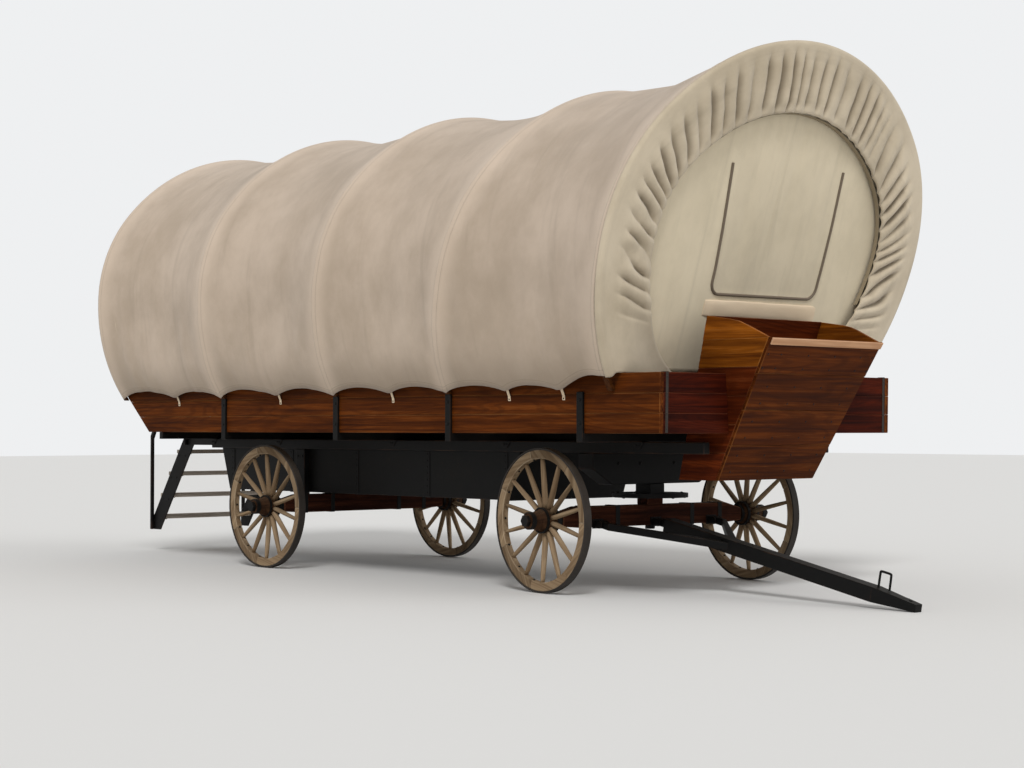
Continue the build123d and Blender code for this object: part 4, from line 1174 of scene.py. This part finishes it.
def bonnet(arch, edge, corner_z, pleats, seed):
    """Gathered ring on one end; edge gives its leaning plane, corner_z the height of its lower corners."""
    roll_end, rim_start = 0.12, 0.94
    roll_r, bead_r = 0.026, 0.008
    face_width = 0.4285
    cloth = bmesh.new()
    bmesh.ops.create_grid(cloth, x_segments=pleats * 10, y_segments=36, size=1)
    cloth_layer = cloth.verts.layers.float_vector.new("cloth")
    hem_layer = cloth.verts.layers.float.new("hem")
    fold_shade_layer = cloth.verts.layers.float.new("fold")
    for vert in cloth.verts:
        inward = (vert.co.y + 1) / 2
        if inward < roll_end:
            turn = inward / roll_end * pi / 2
            inset, back = cover_inset + roll_r * (1 - cos(turn)), roll_r * (1 - sin(turn))
        elif inward < rim_start:
            past = (inward - roll_end) / (rim_start - roll_end)
            inset, back = cover_inset + roll_r + face_width * past, 0.0
        else:
            turn = (inward - rim_start) / (1 - rim_start) * pi
            inset = cover_inset + roll_r + face_width + bead_r * sin(turn)
            back = bead_r * (1 - cos(turn))
        foot = corner_z + (curtain_foot - 0.0015 - corner_z) * between(inset, 0.02, 0.08)
        way = vert.co.x * arch.down(foot, inset)
        shift = noise.noise((way * 3.1, 2.7, seed)) * 1.1 + noise.noise((way * 1.1, 7.7, seed)) * 1.6
        point, out = arch.point(way, inset)
        side = between(abs(out.x), 0.3, 0.95)
        start = 0.03 + 0.085 * side + 0.03 * noise.noise((way * 7, seed, 3.3))
        gather = between(inset, start, start + 0.15) * between(point.z, 1.8, 2.05)
        gather *= 1 - 0.6 * between(inset, 0.4, 0.455)
        size = 0.8 + 0.7 * noise.noise((way * 5, seed, 1.7))
        wander = 0.8 * noise.noise((way * 4, inset * 4, seed + 2)) * gather
        phase = pi * (pleats * (0.75 * vert.co.x + 0.25 * way / arch.down(foot, 0.3)) + shift) + wander
        ridge = abs(sin(phase / 2)) ** 0.7
        puff = 0.012 * sin(pi * min(1, inset / 0.47))
        crumple = noise.noise((way * 9, inset * 11, seed + 4)) * 0.006 * gather
        loose = noise.noise((way * 2.2, inset * 3, seed + 9)) * 0.006 * between(inset, 0.04, 0.12)
        tuck = 0.04 * between(point.z, 2.0, 1.62) * between(inset, 0.2, 0.44)
        back += (0.034 * (1 - ridge) - 0.022 * ridge) * size * gather - puff * (1 - 0.4 * gather)
        back += crumple + loose + tuck
        vert[cloth_layer] = Vector((way, inset * 1.4, 0.5))
        vert[hem_layer] = 1 - 0.8 * between(point.z, 1.9, 1.5)
        # Painted shade in the grooves between the pleats, kept in the fold attribute.
        vert[fold_shade_layer] = (1 - ridge) ** 0.7 * gather * min(1.2, size)
        vert.co = Vector((point.x, edge(point.z, back), point.z))
    facing(cloth, (0, edge(0, 1) < edge(0, 0) or -1, 0))
    return cloth


draw_steps = 45
draw_corners = ((0.4735, 0.018), (0.4735, 0.05), (0.4765, 0.05), (0.4765, 0.018))
for name, arch, edge, corner_z, seed in (
    ("front_bonnet", ring, front_edge, 1.49, 2.0),
    ("rear_bonnet", hoop, rear_edge, 1.41, 13.0),
):
    cloth = bonnet(arch, edge, corner_z, 50, seed)
    gathered = sewn(cloth, f"{name}_canvas", bonnet_canvas, name, 0.003)
    # A thin strip just inside the opening, running back towards the curtain, in the dark drawstring finish:
    # painted shade for that gap.
    drawn = Work()
    sections = []
    for step in range(2 * draw_steps + 1):
        way = (step / draw_steps - 1) * arch.down(2.06, 0.475)
        points = [(arch.point(way, inset)[0], back) for inset, back in draw_corners]
        sections.append([(point.x, edge(point.z, back), point.z) for point, back in points])
    drawn.add(lofted(sections), "y")
    drawn.fit(f"{name}_drawstring", [drawstring_gap_shade], "root", "canvas")

# Front curtain: a canvas wall behind the opening, with a zipped window flap, and a rolled sill
# of canvas along the top of the box.
curtain_canvas = canvas("curtain_canvas", (0.6, 0.515, 0.365), (0.74, 0.64, 0.465))
zip_tape = Finish("zip_tape", {"Base Color": (0.15, 0.115, 0.08), "Roughness": 0.8})


def curtain_back(x, z):
    """How far behind the bonnet's plane the curtain hangs."""
    soft = noise.noise((x * 4.2, z * 0.9, 4.4)) * 0.5 + 0.5
    crease = noise.noise((x * 13, z * 1.1, 7.7)) * 0.5 + 0.5
    inside_zip = between(x, -0.55, -0.4) * between(x, 0.7, 0.58) * between(z, 2.02, 2.2)
    return 0.0625 + 0.01 * soft + (0.004 + 0.012 * inside_zip) * crease * crease


curtain = bmesh.new()
bmesh.ops.create_grid(curtain, x_segments=110, y_segments=80, size=1)
cloth_layer = curtain.verts.layers.float_vector.new("cloth")
hem_layer = curtain.verts.layers.float.new("hem")
fold_shade_layer = curtain.verts.layers.float.new("fold")
for vert in curtain.verts:
    z = curtain_foot + 2.222 * sin((vert.co.y + 1) / 2 * pi / 2)
    x = vert.co.x * ring.half_width(z, 0.0135)
    flap = between(x, -0.5, -0.44) * between(x, 0.66, 0.6) * between(z, 2.05, 2.12)
    vert[cloth_layer] = Vector((z, x, 0.5))
    vert[hem_layer] = 1.0
    # Painted shade over the flap panel, which hangs back behind the zip; it fades out towards the top.
    vert[fold_shade_layer] = 0.27 * flap * between(z, 3.3, 2.8)
    vert.co = Vector((x, front_edge(z, curtain_back(x, z)), z))
facing(curtain, (0, -1, 0))
wall = sewn(curtain, "front_curtain_canvas", curtain_canvas, "front_curtain", 0.003)

zip_line = Work()
zip_bend = 0.084
zip_spots = [(-0.525, 2.93), (-0.478, 2.5), (-0.457, 2.25)]
for x, z, first in ((-0.372, 2.155, 180), (0.566, 2.162, 270)):
    turns = [radians(first + 15 * step) for step in range(7)]
    zip_spots += [(x + zip_bend * cos(turn), z + zip_bend * sin(turn)) for turn in turns]
zip_spots += [(0.654, 2.3), (0.654, 2.588), (0.63, 3.09)]
along_zip = []
for (x0, z0), (x1, z1) in zip(zip_spots, zip_spots[1:]):
    for step in range(4):
        x, z = x0 + (x1 - x0) * step / 4, z0 + (z1 - z0) * step / 4
        along_zip.append((x, front_edge(z, curtain_back(x, z) - 0.002), z))
zip_line.add(tube(along_zip, 0.011), "z", smooth=True)
zip_line.fit("curtain_zip", [zip_tape], "root", "front_canvas")

webbing = Finish("webbing", {"Roughness": 0.85, "Specular IOR Level": 0.15})
ribs = webbing.part(webbing.where("grain", (160, 160, 160)), 0).ripple()
mottle = webbing.cloud(webbing.where("grain", (2, 12, 12)), 3)
tint = webbing.blend(mottle.ramp(0.2, 0.8), (0.68, 0.54, 0.38), (0.76, 0.62, 0.45))
webbing.feed(webbing.shader, {"Base Color": tint})
webbing.relief(ribs * 0.6 + mottle * 0.4, 0.0006)
roll_z, roll_half, roll_middle = 1.975, 0.59, 0.11
sill = Work()
roll = tube([(x, 0, roll_z) for x in even(roll_middle - roll_half, roll_middle + roll_half, 24)], 0.06, 5)
for vert in roll.verts:
    x, up = vert.co.x, vert.co.z - roll_z
    square = 1 - 0.5 * between(abs(x - roll_middle), 0.49, roll_half)
    crush = 0.2 + 0.06 * noise.noise((x * 6, up * 12, 1.1))
    vert.co.z = roll_z + up * (1 - 0.12 * (1 - square)) + 0.004 * noise.noise((x * 5, 0.3, 5.1))
    vert.co.y = front_edge(vert.co.z, 0.081 - 0.02 * square) + vert.co.y * crush * square
sill.add(roll, "x", smooth=True)
sill.fit("curtain_sill_roll", [webbing], "root", "front_canvas")

# Ties: short straps of pale cotton webbing, sewn inside the hem, that hold it down to nails in the
# side boards. They are cut square and hang straight.
tie_half = 0.0125
ties = Work()
for hand in (1, -1):
    for y in (-0.35, 0.2, 1.5, 2.95, 4.45):
        hung = cover_point(1, axle_y + y, 1.405, cover_inset)[0].x - 0.005
        line = [(hung, 1.43), (1.2115, 1.378), (1.209, 1.345)]
        line += [(1.2055, 1.345), (1.2065, 1.376), (hung - 0.003, 1.43)]
        strap = pushed([(hand * x, z) for x, z in line], "y", axle_y + y - tie_half, axle_y + y + tie_half)
        ties.add(eased(strap, 0.0008), "z")
        ties.add(dome((hand * 1.209, axle_y + y, 1.357), (hand, 0, 0), 0.007, 0.003), finish=1)
ties.fit("cover_ties", [webbing, paint], "root", "canvas")

# Corner irons: a flat strap of dark steel nailed down each front corner, over the ends of the end
# boards, its top hooked over their upper edge.
iron_foot, iron_top, iron_thick = 1.124, side_z + 0.0006, 0.003
iron_x, iron_half = 1.1405, 0.0125
irons = Work()
outline = from_axle(
    (-body_front - 0.0006, iron_foot),
    (-body_front - 0.0086, iron_top),
    (-body_front + 0.034, iron_top),
    (-body_front + 0.034, iron_top + iron_thick),
    (-body_front - 0.0116, iron_top + iron_thick),
    (-body_front - 0.0036, iron_foot),
)
for hand in (1, -1):
    span = sided(hand, iron_x - iron_half, iron_x + iron_half)
    irons.add(eased(pushed(outline, "x", *span), 0.0008), "z")
    for z in (1.15, 1.25, 1.38, 1.49):
        spot = (hand * iron_x, axle_y - body_front - 0.004 - front_slope * (z - floor_z), z)
        irons.add(dome(spot, (0, -1, -front_slope), 0.006, 0.003))
irons.fit("corner_irons", [tyre_steel], "root", "black_steel")

# Rear curtain: a canvas wall like the front one, cut away round the doorway. It hangs inside the
# rear bow and down inside the rear end boards, and is tacked to the door frame.
door_half, door_top = 0.43, 3.05
rear_wall = bmesh.new()
bmesh.ops.create_grid(rear_wall, x_segments=100, y_segments=84, size=1)
cloth_layer = rear_wall.verts.layers.float_vector.new("cloth")
hem_layer = rear_wall.verts.layers.float.new("hem")
for vert in rear_wall.verts:
    z = 1.277 + 2.355 * sin((vert.co.y + 1) / 2 * pi / 2)
    z = door_top if abs(z - door_top) < 0.0145 else z
    half = hoop.half_width(z, 0.046) if z > side_z + 0.002 else inside - 0.002
    door = min(door_half, 0.8 * half)
    part = abs(vert.co.x)
    x = part / 0.3 * door if part < 0.3 else door + (part - 0.3) / 0.7 * (half - door)
    x = x if vert.co.x > 0 else -x
    soft = 0.004 + 0.006 * noise.noise((x * 5, z * 0.9, 2.4)) + 0.002 * noise.noise((x * 13, z * 1.5, 6.4))
    vert[cloth_layer] = Vector((z, x, 0.5))
    vert[hem_layer] = z - 1.1
    vert.co = Vector((x, axle_y + 5.052 + max(0.0005, soft), z))
middles = {face: face.calc_center_median() for face in rear_wall.faces}
gone = [face for face, spot in middles.items() if abs(spot.x) < door_half and spot.z < door_top]
bmesh.ops.delete(rear_wall, geom=gone, context="FACES")
facing(rear_wall, (0, 1, 0))
wall = sewn(rear_wall, "rear_curtain_canvas", curtain_canvas, "rear_curtain", 0.002)

# Door: a leaf of upright planks on two battens, hung in a frame of square posts, with strap
# hinges and a pull each side.
frame_half, frame_top = 0.5, 3.12
frame_planes = (axle_y + 4.98, axle_y + 5.05)
leaf_half, leaf_foot, leaf_top = 0.455, 1.165, 3.075
leaf_front, leaf_back = axle_y + 4.936, axle_y + 4.974
hinge_x, hinge_y = -0.477, axle_y + 4.955
hinge_heights = (1.458, 2.758)
batten_half = 0.055
door_timber = timber("door_timber", (0.1, 0.042, 0.016), (0.3, 0.145, 0.058), (0.42, 0.26, 0.14), 0.45)
door_frame = Work()
for low, high, bottom, top, grain_way in (
    (-frame_half, -door_half, deck_z, door_top, "z"),
    (door_half, frame_half, deck_z, door_top, "z"),
    (-frame_half, frame_half, door_top, frame_top, "x"),
):
    post = pushed([(low, bottom), (high, bottom), (high, top), (low, top)], "y", *frame_planes)
    door_frame.add(eased(post, 0.004), grain_way)
for middle in hinge_heights:
    low = middle - 0.0383
    tab = [(-0.492, hinge_y), (-0.462, hinge_y), (-0.462, axle_y + 4.981), (-0.492, axle_y + 4.981)]
    door_frame.add(eased(pushed(tab, "z", low, low + 0.008), 0.001), finish=1)
    pin = sleeve(0, 0.067, 0.0005, 0.008, 16)
    door_frame.add(pin, "x", finish=1, place=Matrix.Translation((hinge_x, hinge_y, low)) @ upright)
door_frame.fit("door_frame_posts", [door_timber, paint], "root", "body_wood", ["door_frame"])

leaf = Work()
outline = [(-leaf_half, leaf_foot), (leaf_half, leaf_foot), (leaf_half, leaf_top), (-leaf_half, leaf_top)]
for plank in planks(outline, "y", leaf_front, leaf_back, "x", even(-leaf_half, leaf_half, 6)):
    leaf.add(plank, "z")
for middle in hinge_heights:
    low, high = middle - batten_half, middle + batten_half
    outline = [(-leaf_half, low), (0.4, low), (0.4, high), (-leaf_half, high)]
    leaf.add(eased(pushed(outline, "y", leaf_front - 0.022, leaf_front), 0.004), "x")
    low, high = middle - 0.03, middle + 0.03
    eye = sleeve(0, high - low, 0.00806, 0.017, 20)
    leaf.add(eye, "x", finish=1, place=Matrix.Translation((hinge_x, hinge_y, low)) @ upright)
    tab = [(-0.47, low), (-0.433, low), (-0.433, high), (-0.47, high)]
    leaf.add(eased(pushed(tab, "y", hinge_y - 0.004, hinge_y + 0.004), 0.001), finish=1)
for base, out in ((leaf_front, -1), (leaf_back, 1)):
    pull = [(0, 1.998), (0.022, 2.0), (0.024, 2.03), (0.024, 2.088)]
    pull += [(0.024, 2.146), (0.022, 2.176), (0, 2.178)]
    leaf.add(tube([(0.38, base + out * proud, z) for proud, z in pull], 0.008, 3), finish=1, smooth=True)
leaf.fit("door_leaf", [door_timber, paint], "door", "body_wood", ["rear_door"])

# Steps: four plank treads, worn grey, on cleats between bent steel stringers, which run in under the
# landing. Hand rails of square steel tube are bolted outside them, and all the steel is painted black.
step_rise, step_run = 0.205, 0.14
tread_half, tread_thick = 0.11, 0.035
stringer_in, stringer_out, rail_face = 0.488, 0.5, 0.53
tread_looks = {"polish": 0.7, "rubbed": 0.7, "dusty": 0.5}
tread_timber = timber("tread_timber", (0.34, 0.29, 0.24), (0.56, 0.5, 0.43), (0.66, 0.6, 0.52), **tread_looks)
treads = [(landing_end + step_run * (step - 0.5), deck_z - step_rise * step) for step in range(1, 5)]
step_planks = Work()
for middle, top in treads:
    start, stop, under = middle - tread_half, middle + tread_half, top - tread_thick
    outline = from_axle((start, under), (stop, under), (stop, top), (start, top))
    edges = even(axle_y + start, axle_y + stop, 2)
    for plank in planks(outline, "x", -stringer_in, stringer_in, "y", edges, 0.004):
        step_planks.add(plank, "x")
step_planks.fit("step_planks", [tread_timber], "root", "tread_wood", ["step_treads"])

stringers = Work()
hand_rails = Work()
ends = [(4.775, floor_z), (landing_end, floor_z), (6.01, 0.32), (6.01, 0.2), (5.89, 0.2), (5.33, 1.0)]
outline = from_axle(*ends, (4.775, 1.0))
ends = [(5.42, 1.0), (5.42, 2.038), (landing_end, 2.038), (6.025, 1.08), (6.025, 0.2), (5.995, 0.2)]
rail_outline = from_axle(*ends, (5.995, 1.05), (landing_end, 1.978), (landing_end, 1.0))
for hand in (1, -1):
    stringers.add(eased(pushed(outline, "x", *sided(hand, stringer_in, stringer_out)), 0.0025, 2), "z")
    hand_rails.add(eased(pushed(rail_outline, "x", *sided(hand, stringer_out, rail_face)), 0.006, 2), "z")
    for middle, top in treads:
        under = top - tread_thick
        cleat = (middle - 0.09, middle + 0.09), (under - 0.006, under)
        stringers.add(bar(sided(hand, 0.452, stringer_in), *cleat, 0.001), "y")
        for y in (middle - 0.05, middle + 0.05):
            spot = (hand * stringer_out, axle_y + y, under - 0.02)
            stringers.add(dome(spot, (hand, 0, 0), 0.009, 0.005))
    for y, z in ((5.435, 1.03), (5.435, 1.09), (6.01, 0.23), (6.01, 0.29)):
        hand_rails.add(dome((hand * rail_face, axle_y + y, z), (hand, 0, 0), 0.008, 0.005))
stringers.fit("stringers_made", [paint], "root", "black_steel", ["step_stringers"])
hand_rails.fit("hand_rails_made", [paint], "root", "black_steel", ["hand_rails"])

# Floor: a plain pale ground, matt, that runs on past the edge of the view. Only the four wheels and the
# tip of the tongue stand on it.
ground = Finish("ground", {"Base Color": (0.76, 0.755, 0.74), "Roughness": 0.9, "Specular IOR Level": 0.1})
sheet = bmesh.new()
bmesh.ops.create_grid(sheet, x_segments=1, y_segments=1, size=60)
mesh = bpy.data.meshes.new("ground")
sheet.to_mesh(mesh)
sheet.free()
mesh.materials.append(ground.material)
ground_plane = bpy.data.objects.new("ground", mesh)
ground_plane.location.z = -0.001
bpy.context.collection.objects.link(ground_plane)
ground_plane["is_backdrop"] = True

# Studio light: a wide soft sky that lights the wagon evenly and that the camera sees brighter, and two
# soft lamps, a key from above the camera and a fainter fill from its right.
world = bpy.data.worlds.new("studio")
bpy.context.scene.world = world
world.use_nodes = True
tree = world.node_tree
sky = tree.nodes["Background"]
sky.inputs["Color"].default_value = (1, 1, 1, 1)
sky.inputs["Strength"].default_value = 0.55
seen = tree.nodes.new("ShaderNodeBackground")
seen.inputs["Color"].default_value = (0.86, 0.87, 0.88, 1)
seen.inputs["Strength"].default_value = 1.0
path = tree.nodes.new("ShaderNodeLightPath")
either = tree.nodes.new("ShaderNodeMath")
either.operation = "ADD"
either.use_clamp = True
tree.links.new(path.outputs["Is Camera Ray"], either.inputs[0])
tree.links.new(path.outputs["Is Transmission Ray"], either.inputs[1])
mixed = tree.nodes.new("ShaderNodeMixShader")
tree.links.new(either.outputs[0], mixed.inputs[0])
tree.links.new(sky.outputs[0], mixed.inputs[1])
tree.links.new(seen.outputs[0], mixed.inputs[2])
tree.links.new(mixed.outputs[0], tree.nodes["World Output"].inputs["Surface"])
for name, strength, spread, turn in (("key", 1.55, 16, (48, 0, -46)), ("fill", 0.5, 40, (62, 0, 30))):
    lamp = bpy.data.lights.new(name, "SUN")
    lamp.energy = strength
    lamp.angle = radians(spread)
    holder = bpy.data.objects.new(name, lamp)
    holder.rotation_euler = [radians(part) for part in turn]
    bpy.context.collection.objects.link(holder)

# Camera: where the photograph was taken from, little more than a metre up, and turned to the wagon.
# Its lens and its place were solved together with the wagon's size.
eye = Vector((-10.272, -11.58887, 1.16))
aim = Vector((-0.21327, -0.46644, 1.4969))
lens = bpy.data.cameras.new("camera")
lens.sensor_width = 36
lens.lens = 68
camera = bpy.data.objects.new("camera", lens)
camera.location = eye
camera.rotation_euler = (aim - eye).to_track_quat("-Z", "Y").to_euler()
bpy.context.collection.objects.link(camera)
bpy.context.scene.camera = camera
bpy.context.scene.view_settings.view_transform = "Standard"

corners = {"cad": [list(corner) for corner in cad_box], "visual": [list(corner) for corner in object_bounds()]}
